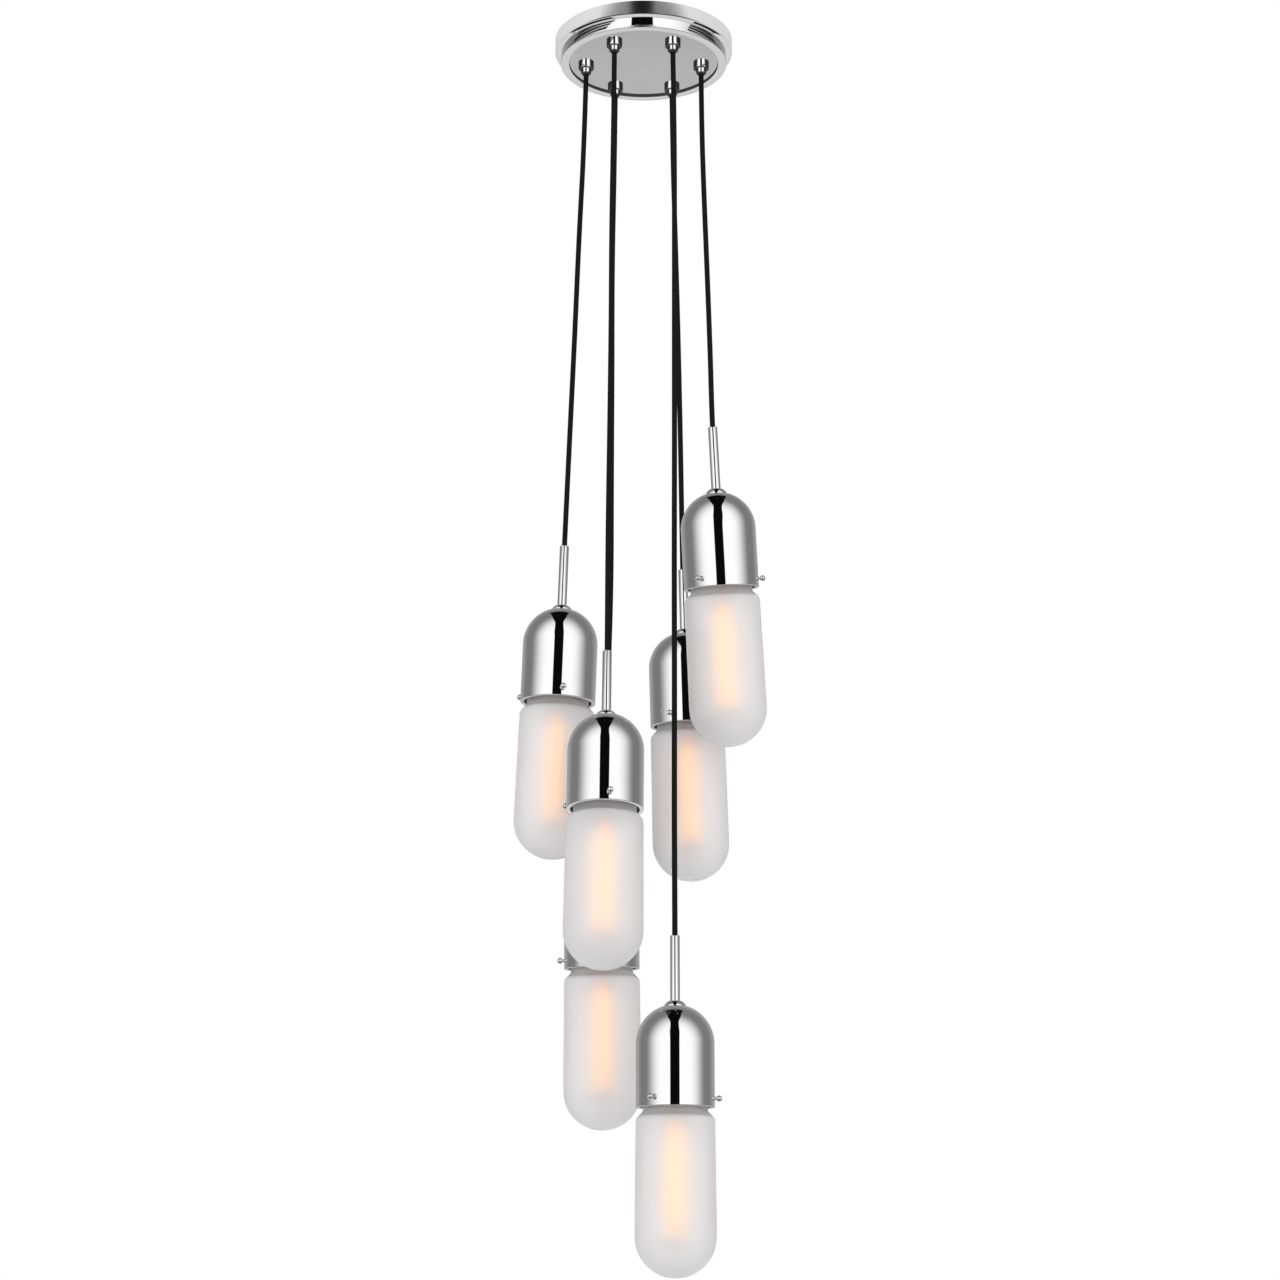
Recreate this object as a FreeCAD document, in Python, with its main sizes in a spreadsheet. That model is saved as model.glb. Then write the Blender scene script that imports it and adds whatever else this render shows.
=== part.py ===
"""A six-light cluster pendant, built as a parametric document in millimetres.

A round stepped canopy sits against the ceiling. Six textile cords leave it through cord grips on a
circle, and each carries one light: a slim stem, a collar, a bell-shaped dome, a socket with its lamp,
and a capsule of frosted glass that three ball-headed screws hold in the mouth of the dome.

The origin is the centre of the canopy's top, on the ceiling. +Z is up, the viewer stands at -Y, and
bearings are turned from +X towards +Y. Each light has its own frame: its origin is the centre of the
dome's rim and its z axis runs up the stem.
"""

import FreeCAD, Part
import math
import os

import Sketcher

# Driving sizes: millimetres, and degrees where the name says lean, turn or bearing
SIZES = {
    # Canopy pan: an upper ring against the ceiling, and a neck that steps in under it
    "canopy_radius": 100.0,
    "ring_height": 16.0,
    "ring_edge_radius": 1.5,
    "ring_step": 7.5,
    "neck_height": 10.2,
    "pan_sheet": 1.2,
    # Canopy plate: a turned lip, a recessed face and an upstand inside the neck
    "plate_overhang": 1.2,
    "lip_height": 2.8,
    "plate_edge_radius": 0.8,
    "lip_width": 9.7,
    "face_recess": 4.0,
    "face_thickness": 1.5,
    "upstand_height": 8.2,
    "upstand_wall": 1.6,
    "upstand_clearance": 0.2,
    # Bracket behind the canopy
    "bracket_width": 25.0,
    "bracket_sheet": 2.0,
    "bracket_ring_gap": 1.4,
    "bracket_tab_gap": 2.0,
    "bracket_bend_radius": 3.0,
    "box_slot_spacing": 88.9,
    "box_slot_length": 18.0,
    "box_slot_width": 4.6,
    "wire_hole_radius": 6.5,
    "ground_hole_radius": 2.1,
    "ground_screw_radius": 2.0,
    "ground_screw_x": 22.0,
    "ground_head_radius": 4.0,
    "ground_head_height": 2.4,
    # Headless screws in the ring and in the neck
    "grub_radius": 1.5,
    "grub_clearance": 0.1,
    "grub_sink": 0.3,
    "ring_grub_length": 6.5,
    "neck_grub_length": 3.2,
    "neck_grub_height": 4.8,
    "grub_key_radius": 0.75,
    "grub_key_depth": 1.2,
    # Cord grips on their circle
    "grip_inset": 35.0,
    "grip_radius": 8.65,
    "grip_body_height": 9.5,
    "grip_edge": 0.6,
    "grip_nose_radius": 5.75,
    "grip_nose_height": 5.3,
    "grip_shank_radius": 5.0,
    "grip_shank_length": 12.0,
    "grip_bore_radius": 3.3,
    "grip_hole_clearance": 0.2,
    "grip_nut_width": 15.0,
    "grip_nut_height": 3.0,
    "bushing_radius": 3.9,
    "bushing_clearance": 0.05,
    "bushing_seat_depth": 3.0,
    "bushing_stand": 1.8,
    "bushing_wall": 0.65,
    # Cord
    "cord_radius": 2.85,
    "cord_tail_gap": 0.35,
    "cord_tail_top": 9.0,
    "cord_in_stem": 10.0,
    "cord_straight_above_stem": 14.0,
    # Stem and collar
    "stem_radius": 5.0,
    "stem_bore_radius": 3.2,
    "stem_exposed": 67.05,
    "stem_engagement": 13.2,
    "stem_chamfer": 0.8,
    "collar_radius": 11.0,
    "collar_height": 5.3,
    "collar_edge": 1.4,
    "collar_crown_radius": 9.5,
    "collar_top_radius": 6.4,
    "thread_clearance": 0.1,
    # Dome
    "dome_radius": 40.0,
    "dome_wall_height": 64.0,
    "dome_sheet": 0.8,
    "dome_flat_radius": 12.0,
    "dome_rim_lip": 3.9,
    "dome_rim_thickness": 1.0,
    "dome_edge_radius": 0.7,
    # Thumb screws
    "screw_height": 8.7,
    "screw_shank_radius": 1.5,
    "screw_hole_clearance": 0.05,
    "screw_ball_radius": 3.2,
    "screw_ball_reach": 4.35,
    "screw_neck_radius": 1.25,
    "screw_foot_radius": 2.1,
    "screw_foot_height": 0.7,
    "screw_slot_width": 0.9,
    "screw_slot_depth": 1.6,
    "screw_tip_gap": 0.2,
    # Socket
    "socket_radius": 19.5,
    "socket_neck_radius": 11.5,
    "socket_neck_height": 6.0,
    "socket_shoulder_height": 7.0,
    "socket_length": 55.35,
    "socket_bore_radius": 13.5,
    "socket_bore_depth": 26.6,
    "socket_edge": 1.5,
    # Lamp
    "lamp_cap_clearance": 0.4,
    "lamp_cap_crown": 22.0,
    "lamp_contact_radius": 5.0,
    "lamp_contact_gap": 0.3,
    "lamp_radius": 15.0,
    "lamp_shoulder": 9.0,
    "lamp_shoulder_radius": 26.0,
    "lamp_glass": 1.0,
    "lamp_tip_gap": 25.8,
    # Shade
    "shade_overhang": 0.2,
    "shade_flare": 1.1,
    "shade_length": 168.8,
    "shade_glass": 2.2,
    "shade_neck_gap": 3.1,
    "shade_neck_top": 11.2,
    "shade_bead_step": 1.6,
    "shade_bead_height": 2.8,
    "shade_cove_radius": 2.5,
    "shade_cone_lean": 45.0,
    "shade_shoulder_radius": 7.0,
    "shade_shoulder_drop": 14.1,
    # Where each light hangs: the top of its stem, its lean, and the turn of its thumb screws
    "light_1_x": 73.7,
    "light_1_y": -63.0,
    "light_1_drop": 482.9,
    "light_1_lean_side": -3.03,
    "light_1_lean_front": -9.82,
    "light_1_turn": 115.0,
    "light_2_x": -85.8,
    "light_2_y": -0.4,
    "light_2_drop": 597.2,
    "light_2_lean_side": 2.0,
    "light_2_lean_front": -0.3,
    "light_2_turn": 39.0,
    "light_3_x": -38.6,
    "light_3_y": -49.5,
    "light_3_drop": 727.4,
    "light_3_lean_side": 0.57,
    "light_3_lean_front": 5.14,
    "light_3_turn": 38.0,
    "light_4_x": 42.7,
    "light_4_y": 48.9,
    "light_4_drop": 609.5,
    "light_4_lean_side": -1.5,
    "light_4_lean_front": -3.2,
    "light_4_turn": 4.0,
    "light_5_x": -45.8,
    "light_5_y": 41.5,
    "light_5_drop": 874.8,
    "light_5_lean_side": -0.4,
    "light_5_lean_front": -4.0,
    "light_5_turn": 65.0,
    "light_6_x": 31.7,
    "light_6_y": -62.1,
    "light_6_drop": 1031.5,
    "light_6_lean_side": 0.0,
    "light_6_lean_front": -1.9,
    "light_6_turn": 115.0,
}

# Which grip each light hangs from: its place on the circle, counted in sixths of a turn from +X
GRIP_PLACES = {1: 0, 2: 3, 3: 4, 4: 1, 5: 2, 6: 5}

# The free part of each cord between its grip and the bend over its stem, as points chosen by hand
CORD_ROUTES = {
    1: [(65.0, -10.6, -110.0), (66.4, -25.4, -205.0), (69.3, -41.0, -305.0), (71.8, -55.2, -400.0)],
    2: [(-66.8, 0.5, -125.0), (-71.9, 0.4, -235.0), (-76.1, -0.3, -355.0), (-80.6, -0.1, -465.0)],
    3: [
        (-33.1, -55.8, -130.0),
        (-34.4, -54.6, -240.0),
        (-35.0, -53.6, -360.0),
        (-36.2, -51.7, -480.0),
        (-37.6, -51.1, -600.0),
    ],
    4: [(33.3, 56.0, -120.0), (34.9, 53.9, -215.0), (37.2, 52.6, -330.0), (39.6, 50.9, -455.0)],
    5: [
        (-33.4, 55.6, -130.0),
        (-35.6, 52.6, -250.0),
        (-36.6, 51.2, -380.0),
        (-36.9, 48.4, -510.0),
        (-37.3, 46.9, -630.0),
        (-40.2, 44.0, -750.0),
    ],
    6: [
        (33.8, -56.9, -130.0),
        (33.7, -57.4, -250.0),
        (33.2, -58.8, -380.0),
        (32.9, -59.0, -510.0),
        (32.2, -60.5, -640.0),
        (32.1, -60.7, -770.0),
        (31.5, -62.3, -900.0),
    ],
}

LIGHTS = sorted(GRIP_PLACES)
GRIP_COUNT = len(GRIP_PLACES)
THUMB_SCREW_COUNT = 3
NECK_GRUB_COUNT = 3
RING_GRUB_COUNT = 2
NUT_SIDES = 6
FULL_TURN = 360.0
QUARTER_TURN = 90.0
CORD_SETBACK_SHARE = 0.45

# How a sketch numbers its own origin point and its two axes
ORIGIN_INDEXES = (-1, 1)
H_AXIS_INDEX = -1
V_AXIS_INDEX = -2


class Size:
    """A size with its value and the sheet formula that gives it."""

    def __init__(self, value, formula):
        self.value = value
        self.formula = formula

    def __add__(self, other):
        return Size(self.value + other.value, f"({self.formula} + {other.formula})")

    def __sub__(self, other):
        return Size(self.value - other.value, f"({self.formula} - {other.formula})")

    def __neg__(self):
        return Size(-self.value, f"(0 - {self.formula})")

    def __mul__(self, factor):
        factor = as_size(factor)
        return Size(self.value * factor.value, f"({self.formula} * {factor.formula})")

    def __truediv__(self, parts):
        parts = as_size(parts)
        return Size(self.value / parts.value, f"({self.formula} / {parts.formula})")

    def side(self, other):
        """The other short side of a right triangle with this long side."""
        value = math.sqrt(self.value**2 - other.value**2)
        return Size(value, f"sqrt({self.formula} * {self.formula} - {other.formula} * {other.formula})")

    def sine(self):
        """The sine of this many degrees."""
        return Size(math.sin(math.radians(self.value)), f"sin({self.formula})")

    def cosine(self):
        """The cosine of this many degrees."""
        return Size(math.cos(math.radians(self.value)), f"cos({self.formula})")


def as_size(number):
    """A plain number in the same form as a size."""
    return number if isinstance(number, Size) else Size(number, str(number))


ZERO = Size(0.0, "0")

doc = FreeCAD.newDocument("ClusterPendant")
sheet = doc.addObject("Spreadsheet::Sheet", "Sizes")
for row, (alias, value) in enumerate(SIZES.items(), start=1):
    sheet.set(f"A{row}", alias)
    sheet.set(f"B{row}", str(value))
    sheet.setAlias(f"B{row}", alias)
doc.recompute()

nodes = []


def size(alias):
    """A size from the sheet."""
    return Size(float(sheet.get(alias)), f"Sizes.{alias}")


def origin_feature(body, role):
    """One of a body's own origin planes or axes."""
    return next(item for item in body.Origin.OriginFeatures if item.Role == role)


def new_body(label, grouped=False):
    """A new named piece. A grouped one holds several separate solids of one kind."""
    body = doc.addObject("PartDesign::Body", label)
    body.Label = label
    body.AllowCompound = grouped
    nodes.append(body)
    return body


def new_sketch(body, name, role="XZ_Plane", shift_x=None, shift_y=None):
    """A sketch on one of the body's origin planes, moved in that plane by named sizes."""
    sketch = body.newObject("Sketcher::SketchObject", name)
    sketch.AttachmentSupport = (origin_feature(body, role), [""])
    sketch.MapMode = "FlatFace"
    if shift_x:
        sketch.setExpression("AttachmentOffset.Base.x", shift_x.formula)
    if shift_y:
        sketch.setExpression("AttachmentOffset.Base.y", shift_y.formula)
    return sketch


def pin(sketch, edge, end, x, y):
    """Hold one end of an edge at a named place of the sketch."""
    for kind, place, axis in (("DistanceX", x, V_AXIS_INDEX), ("DistanceY", y, H_AXIS_INDEX)):
        if place is ZERO:
            sketch.addConstraint(Sketcher.Constraint("PointOnObject", edge, end, axis))
        else:
            held = Sketcher.Constraint(kind, *ORIGIN_INDEXES, edge, end, place.value)
            index = sketch.addConstraint(held)
            sketch.setExpression(f"Constraints[{index}]", place.formula)


def arc_between(start, end, radius, turn):
    """The short arc from start to end. A turn of 1 bends left and -1 bends right."""
    chord = end - start
    left = FreeCAD.Vector(-chord.y, chord.x, 0).normalize()
    rise = math.sqrt(max(radius**2 - (chord.Length / 2) ** 2, 0.0))
    centre = start + chord / 2 + left * rise * turn
    ends = (start, end) if turn > 0 else (end, start)
    angles = [math.atan2(point.y - centre.y, point.x - centre.x) for point in ends]
    circle = Part.Circle(centre, FreeCAD.Vector(0, 0, 1), radius)
    return Part.ArcOfCircle(circle, *angles)


def outline(sketch, corners):
    """Draw a closed outline through corners (x, y) or (x, y, radius, turn).

    A radius and a turn make an arc of the edge that arrives at that corner.
    """
    ends = []
    for corner, after in zip(corners, corners[1:] + corners[:1]):
        start = FreeCAD.Vector(corner[0].value, corner[1].value, 0)
        end = FreeCAD.Vector(after[0].value, after[1].value, 0)
        if len(after) == 2:
            edge = sketch.addGeometry(Part.LineSegment(start, end))
            ends.append((edge, 1, 2))
        else:
            radius, turn = after[2:]
            edge = sketch.addGeometry(arc_between(start, end, radius.value, turn))
            ends.append((edge, 1, 2) if turn > 0 else (edge, 2, 1))
            index = sketch.addConstraint(Sketcher.Constraint("Radius", edge, radius.value))
            sketch.setExpression(f"Constraints[{index}]", radius.formula)
    for (edge, _, last), (following, first, _) in zip(ends, ends[1:] + ends[:1]):
        sketch.addConstraint(Sketcher.Constraint("Coincident", edge, last, following, first))
    for (edge, first, _), corner in zip(ends, corners):
        pin(sketch, edge, first, corner[0], corner[1])


def circle_in(sketch, x, y, radius):
    """Draw a circle with a named centre and radius."""
    centre = FreeCAD.Vector(x.value, y.value, 0)
    edge = sketch.addGeometry(Part.Circle(centre, FreeCAD.Vector(0, 0, 1), radius.value))
    index = sketch.addConstraint(Sketcher.Constraint("Radius", edge, radius.value))
    sketch.setExpression(f"Constraints[{index}]", radius.formula)
    pin(sketch, edge, 3, x, y)


def turn_profile(body, corners, axis="V_Axis", **shifts):
    """Turn an outline round an axis of its own sketch."""
    sketch = new_sketch(body, f"{body.Label}_profile", **shifts)
    outline(sketch, corners)
    turning = body.newObject("PartDesign::Revolution", f"{body.Label}_turning")
    turning.Profile = sketch
    turning.ReferenceAxis = (sketch, [axis])
    turning.Angle = FULL_TURN
    return turning


def cut_hole(body, name, role, x, y, radius, both_ways=False, reverse=False):
    """Drill a round hole through everything, square to one of the origin planes."""
    sketch = new_sketch(body, f"{name}_outline", role)
    circle_in(sketch, x, y, radius)
    hole = body.newObject("PartDesign::Pocket", name)
    hole.Profile = sketch
    hole.Type = "ThroughAll"
    hole.Midplane = both_ways
    hole.Reversed = reverse
    return hole


def repeat_round(body, features, count):
    """Repeat features round the body's z axis."""
    pattern = body.newObject("PartDesign::PolarPattern", f"{body.Label}_pattern")
    pattern.Originals = features
    pattern.Axis = (origin_feature(body, "Z_Axis"), [""])
    pattern.Angle = FULL_TURN
    pattern.Occurrences = count
    body.Tip = pattern
    return pattern


def neck_radius():
    """The outside of the canopy's neck."""
    return size("canopy_radius") - size("ring_step")


def neck_bottom():
    """The height of the neck's lower edge."""
    return -(size("ring_height") + size("neck_height"))


def ring_grub_height():
    """The height of the two screws in the ring, half way down it."""
    return -size("ring_height") / 2


def neck_grub_height():
    """The height of the three screws in the neck."""
    return neck_bottom() + size("neck_grub_height")


def plate_bottom():
    """The height of the lowest edge of the plate's lip."""
    return neck_bottom() - size("lip_height")


def grip_circle():
    """The radius of the circle on which the cord grips stand."""
    return size("canopy_radius") - size("grip_inset")


def make_canopy_pan():
    """The ring against the ceiling and the neck under it, pressed from one sheet."""
    body = new_body("canopy_pan")
    outer = size("canopy_radius")
    sheet_thickness = size("pan_sheet")
    edge = size("ring_edge_radius")
    ring_bottom = -size("ring_height")
    neck = neck_radius()
    bottom = neck_bottom()
    turn_profile(
        body,
        [
            (outer, ZERO),
            (outer - sheet_thickness, ZERO),
            (outer - sheet_thickness, ring_bottom + sheet_thickness),
            (neck - sheet_thickness, ring_bottom + sheet_thickness),
            (neck - sheet_thickness, bottom),
            (neck, bottom),
            (neck, ring_bottom),
            (outer - edge, ring_bottom),
            (outer, ring_bottom + edge, edge, 1),
        ],
    )
    radius = size("grub_radius") + size("grub_clearance")
    cut_hole(body, "ring_screw_holes", "YZ_Plane", ZERO, ring_grub_height(), radius, both_ways=True)
    neck_hole = cut_hole(body, "neck_screw_hole", "XZ_Plane", ZERO, neck_grub_height(), radius)
    repeat_round(body, [neck_hole], NECK_GRUB_COUNT)


def make_canopy_plate():
    """The turned plate that closes the neck and carries the cord grips."""
    body = new_body("canopy_plate")
    rim = neck_radius() + size("plate_overhang")
    edge = size("plate_edge_radius")
    bottom = plate_bottom()
    lip_top = neck_bottom()
    lip_inner = rim - size("lip_width")
    face = plate_face()
    back = face + size("face_thickness")
    upstand = neck_radius() - size("pan_sheet") - size("upstand_clearance")
    upstand_inner = upstand - size("upstand_wall")
    upstand_top = lip_top + size("upstand_height")
    turn_profile(
        body,
        [
            (ZERO, face),
            (lip_inner - edge, face),
            (lip_inner, face - edge, edge, -1),
            (lip_inner, bottom + edge),
            (lip_inner + edge, bottom, edge, 1),
            (rim - edge, bottom),
            (rim, bottom + edge, edge, 1),
            (rim, lip_top),
            (upstand, lip_top),
            (upstand, upstand_top),
            (upstand_inner, upstand_top),
            (upstand_inner, back),
            (ZERO, back),
        ],
    )
    radius = size("grub_radius") + size("grub_clearance")
    neck_hole = cut_hole(body, "upstand_screw_hole", "XZ_Plane", ZERO, neck_grub_height(), radius)
    repeat_round(body, [neck_hole], NECK_GRUB_COUNT)
    radius = size("grip_shank_radius") + size("grip_hole_clearance")
    grip_hole = cut_hole(body, "grip_hole", "XY_Plane", grip_circle(), ZERO, radius, both_ways=True)
    repeat_round(body, [grip_hole], GRIP_COUNT)


def cut_slot(body, name, centre_x):
    """Cut one of the crossbar's round-ended slots, which lie along x."""
    sketch = new_sketch(body, f"{name}_outline", "XY_Plane")
    end = size("box_slot_width") / 2
    left = centre_x - size("box_slot_length") / 2
    right = centre_x + size("box_slot_length") / 2
    outline(
        sketch,
        [
            (left + end, -end, end, 1),
            (right - end, -end),
            (right, ZERO, end, 1),
            (right - end, end, end, 1),
            (left + end, end),
            (left, ZERO, end, 1),
        ],
    )
    slot = body.newObject("PartDesign::Pocket", name)
    slot.Profile = sketch
    slot.Type = "ThroughAll"
    slot.Midplane = True


def make_ceiling_bracket():
    """The slotted crossbar, bent down at both ends to take the ring's screws."""
    body = new_body("ceiling_bracket")
    half = size("canopy_radius") - size("pan_sheet") - size("bracket_ring_gap")
    strip = size("bracket_sheet")
    bend = size("bracket_bend_radius")
    inner_bend = bend - strip
    drop = size("bracket_tab_gap") - size("ring_height")
    sketch = new_sketch(body, "bracket_profile")
    outline(
        sketch,
        [
            (bend - half, ZERO),
            (-half, -bend, bend, 1),
            (-half, drop),
            (strip - half, drop),
            (strip - half, -strip - inner_bend),
            (strip + inner_bend - half, -strip, inner_bend, -1),
            (half - strip - inner_bend, -strip),
            (half - strip, -strip - inner_bend, inner_bend, -1),
            (half - strip, drop),
            (half, drop),
            (half, -bend),
            (half - bend, ZERO, bend, 1),
        ],
    )
    bar = body.newObject("PartDesign::Pad", "bracket_bar")
    bar.Profile = sketch
    bar.Midplane = True
    bar.setExpression("Length", size("bracket_width").formula)
    half_spacing = size("box_slot_spacing") / 2
    cut_slot(body, "right_slot", half_spacing)
    cut_slot(body, "left_slot", -half_spacing)
    cut_hole(body, "wire_hole", "XY_Plane", ZERO, ZERO, size("wire_hole_radius"), both_ways=True)
    radius = size("ground_hole_radius")
    cut_hole(body, "ground_hole", "XY_Plane", size("ground_screw_x"), ZERO, radius, both_ways=True)
    radius = size("grub_radius") + size("grub_clearance")
    cut_hole(body, "tab_screw_holes", "YZ_Plane", ZERO, ring_grub_height(), radius, both_ways=True)


def make_ground_screw():
    """The screw for the earth wire, in the crossbar."""
    body = new_body("ground_screw")
    head_top = -size("bracket_sheet")
    head_bottom = head_top - size("ground_head_height")
    head = size("ground_head_radius")
    shank = size("ground_screw_radius")
    turn_profile(
        body,
        [
            (ZERO, ZERO),
            (ZERO, head_bottom),
            (head - size("ground_head_height") / 2, head_bottom),
            (head, head_bottom + size("ground_head_height") / 2, size("ground_head_height") / 2, 1),
            (head, head_top),
            (shank, head_top),
            (shank, ZERO),
        ],
        shift_x=size("ground_screw_x"),
    )


def grub_outline(outer, length):
    """Half the section of a headless screw that lies along x, with its key socket outwards."""
    inner = outer - length
    radius = size("grub_radius")
    key = size("grub_key_radius")
    floor = outer - size("grub_key_depth")
    return [
        (inner, ZERO),
        (floor, ZERO),
        (floor, key),
        (outer, key),
        (outer, radius),
        (inner, radius),
    ]


def make_canopy_screws():
    """Two headless screws that hold the ring to the crossbar's ends."""
    body = new_body("canopy_screws", grouped=True)
    corners = grub_outline(size("canopy_radius") - size("grub_sink"), size("ring_grub_length"))
    screw = turn_profile(body, corners, axis="H_Axis", shift_y=ring_grub_height())
    repeat_round(body, [screw], RING_GRUB_COUNT)


def make_plate_screws():
    """Three headless screws that hold the plate's upstand in the neck."""
    body = new_body("plate_screws", grouped=True)
    corners = grub_outline(neck_radius() - size("grub_sink"), size("neck_grub_length"))
    screw = turn_profile(body, corners, axis="H_Axis", shift_y=neck_grub_height())
    repeat_round(body, [screw], NECK_GRUB_COUNT)
    quarter_turn = FreeCAD.Rotation(FreeCAD.Vector(0, 0, 1), QUARTER_TURN)
    body.Placement = FreeCAD.Placement(FreeCAD.Vector(), quarter_turn)


def plate_face():
    """The height of the plate's recessed face."""
    return plate_bottom() + size("face_recess")


def grip_body_bottom():
    """The height of the step between a grip's body and its nose."""
    return plate_face() - size("grip_body_height")


def grip_nose_bottom():
    """The height of the end of a grip's nose."""
    return grip_body_bottom() - size("grip_nose_height")


def cord_mouth():
    """The height at which the cords leave their bushings."""
    return grip_nose_bottom() - size("bushing_stand")


def make_cord_grips():
    """Six stepped cord grips, each with a threaded shank through the plate."""
    body = new_body("cord_grips", grouped=True)
    face = plate_face()
    step = grip_body_bottom()
    nose = grip_nose_bottom()
    edge = size("grip_edge")
    shank_top = face + size("grip_shank_length")
    seat = nose + size("bushing_seat_depth")
    seat_radius = size("bushing_radius") + size("bushing_clearance")
    grip = turn_profile(
        body,
        [
            (size("grip_bore_radius"), shank_top),
            (size("grip_bore_radius"), seat),
            (seat_radius, seat),
            (seat_radius, nose),
            (size("grip_nose_radius") - edge, nose),
            (size("grip_nose_radius"), nose + edge, edge, 1),
            (size("grip_nose_radius"), step),
            (size("grip_radius") - edge, step),
            (size("grip_radius"), step + edge, edge, 1),
            (size("grip_radius"), face),
            (size("grip_shank_radius"), face),
            (size("grip_shank_radius"), shank_top),
        ],
        shift_x=grip_circle(),
    )
    repeat_round(body, [grip], GRIP_COUNT)


def make_grip_bushings():
    """Six soft bushings between the grips' noses and the cords."""
    body = new_body("grip_bushings", grouped=True)
    seat = grip_nose_bottom() + size("bushing_seat_depth")
    mouth = cord_mouth()
    outer = size("bushing_radius")
    inner = outer - size("bushing_wall")
    bushing = turn_profile(
        body,
        [(inner, seat), (inner, mouth), (outer, mouth), (outer, seat)],
        shift_x=grip_circle(),
    )
    repeat_round(body, [bushing], GRIP_COUNT)


def make_grip_nuts():
    """Six hexagon nuts that clamp the grips from inside the canopy."""
    body = new_body("grip_nuts", grouped=True)
    seat = plate_face() + size("face_thickness")
    flat = size("grip_nut_width") / 2
    nut = body.newObject("PartDesign::AdditivePrism", "nut_blank")
    nut.Polygon = NUT_SIDES
    nut.setExpression("Circumradius", f"({flat.formula}) / cos({FULL_TURN / NUT_SIDES / 2})")
    nut.setExpression("Height", size("grip_nut_height").formula)
    bore = size("grip_shank_radius") + size("thread_clearance")
    hole = body.newObject("PartDesign::SubtractiveCylinder", "nut_bore")
    hole.setExpression("Radius", bore.formula)
    hole.setExpression("Height", size("grip_nut_height").formula)
    for feature in (nut, hole):
        feature.AttachmentSupport = (origin_feature(body, "XY_Plane"), [""])
        feature.MapMode = "FlatFace"
        feature.setExpression("AttachmentOffset.Base.x", grip_circle().formula)
        feature.setExpression("AttachmentOffset.Base.z", seat.formula)
    doc.recompute()
    repeat_round(body, [nut, hole], GRIP_COUNT)


def make_cord_tails():
    """The six cord ends inside the grips and the canopy, above the point where a cord may bend."""
    body = new_body("cord_tails", grouped=True)
    bottom = cord_mouth() + size("cord_radius") + size("cord_tail_gap")
    top = -size("cord_tail_top")
    tail = body.newObject("PartDesign::AdditiveCylinder", "cord_tail")
    tail.setExpression("Radius", size("cord_radius").formula)
    tail.setExpression("Height", (top - bottom).formula)
    tail.AttachmentSupport = (origin_feature(body, "XY_Plane"), [""])
    tail.MapMode = "FlatFace"
    tail.setExpression("AttachmentOffset.Base.x", grip_circle().formula)
    tail.setExpression("AttachmentOffset.Base.z", bottom.formula)
    repeat_round(body, [tail], GRIP_COUNT)


def stem_axis(light):
    """The direction of a light's stem, upwards."""
    side = math.radians(size(f"light_{light}_lean_side").value)
    front = math.radians(size(f"light_{light}_lean_front").value)
    return FreeCAD.Vector(math.tan(side), math.tan(front), 1).normalize()


def stem_top_place(light):
    """The centre of the top of a light's stem."""
    x, y, drop = (size(f"light_{light}_{name}").value for name in ("x", "y", "drop"))
    return FreeCAD.Vector(x, y, -drop)


def light_pose(light):
    """Where a light's own frame lies: at the centre of its dome's rim, leaning and turned."""
    axis = stem_axis(light)
    upright = FreeCAD.Vector(0, 0, 1)
    lean = FreeCAD.Rotation(upright, axis)
    turn = FreeCAD.Rotation(upright, size(f"light_{light}_turn").value)
    rim = stem_top_place(light) - axis * stem_top().value
    return FreeCAD.Placement(rim, lean * turn)


def dome_top():
    """The height of the flat on top of the dome, over its rim."""
    return size("dome_wall_height") + size("dome_radius").side(size("dome_flat_radius"))


def stem_top():
    """The height of the top of the stem, over the dome's rim."""
    return dome_top() + size("collar_height") + size("stem_exposed")


def stem_bottom():
    """The height of the stem's lower end, inside the socket."""
    return dome_top() - size("stem_engagement")


def rim_radius():
    """The inside of the dome's turned-in rim."""
    return size("dome_radius") - size("dome_rim_lip")


def socket_mouth():
    """The height of the socket's mouth, over the dome's rim."""
    return dome_top() - size("dome_sheet") - size("socket_length")


def shade_neck():
    """The outside of the glass neck, which stands inside the dome's rim."""
    return rim_radius() - size("shade_neck_gap")


def make_stem(light):
    """The slim tube that the cord enters, threaded through collar and dome into the socket."""
    body = new_body(f"stem_{light}")
    top = stem_top()
    chamfer = size("stem_chamfer")
    turn_profile(
        body,
        [
            (size("stem_bore_radius"), stem_bottom()),
            (size("stem_radius"), stem_bottom()),
            (size("stem_radius"), top - chamfer),
            (size("stem_radius") - chamfer, top),
            (size("stem_bore_radius"), top),
        ],
    )
    body.Placement = light_pose(light)


def make_collar(light):
    """The small crowned collar that clamps the dome from above."""
    body = new_body(f"collar_{light}")
    bore = size("stem_radius") + size("thread_clearance")
    seat = dome_top()
    top = seat + size("collar_height")
    turn_profile(
        body,
        [
            (bore, seat),
            (size("collar_radius"), seat),
            (size("collar_radius"), seat + size("collar_edge")),
            (size("collar_top_radius"), top, size("collar_crown_radius"), 1),
            (bore, top),
        ],
    )
    body.Placement = light_pose(light)


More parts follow.
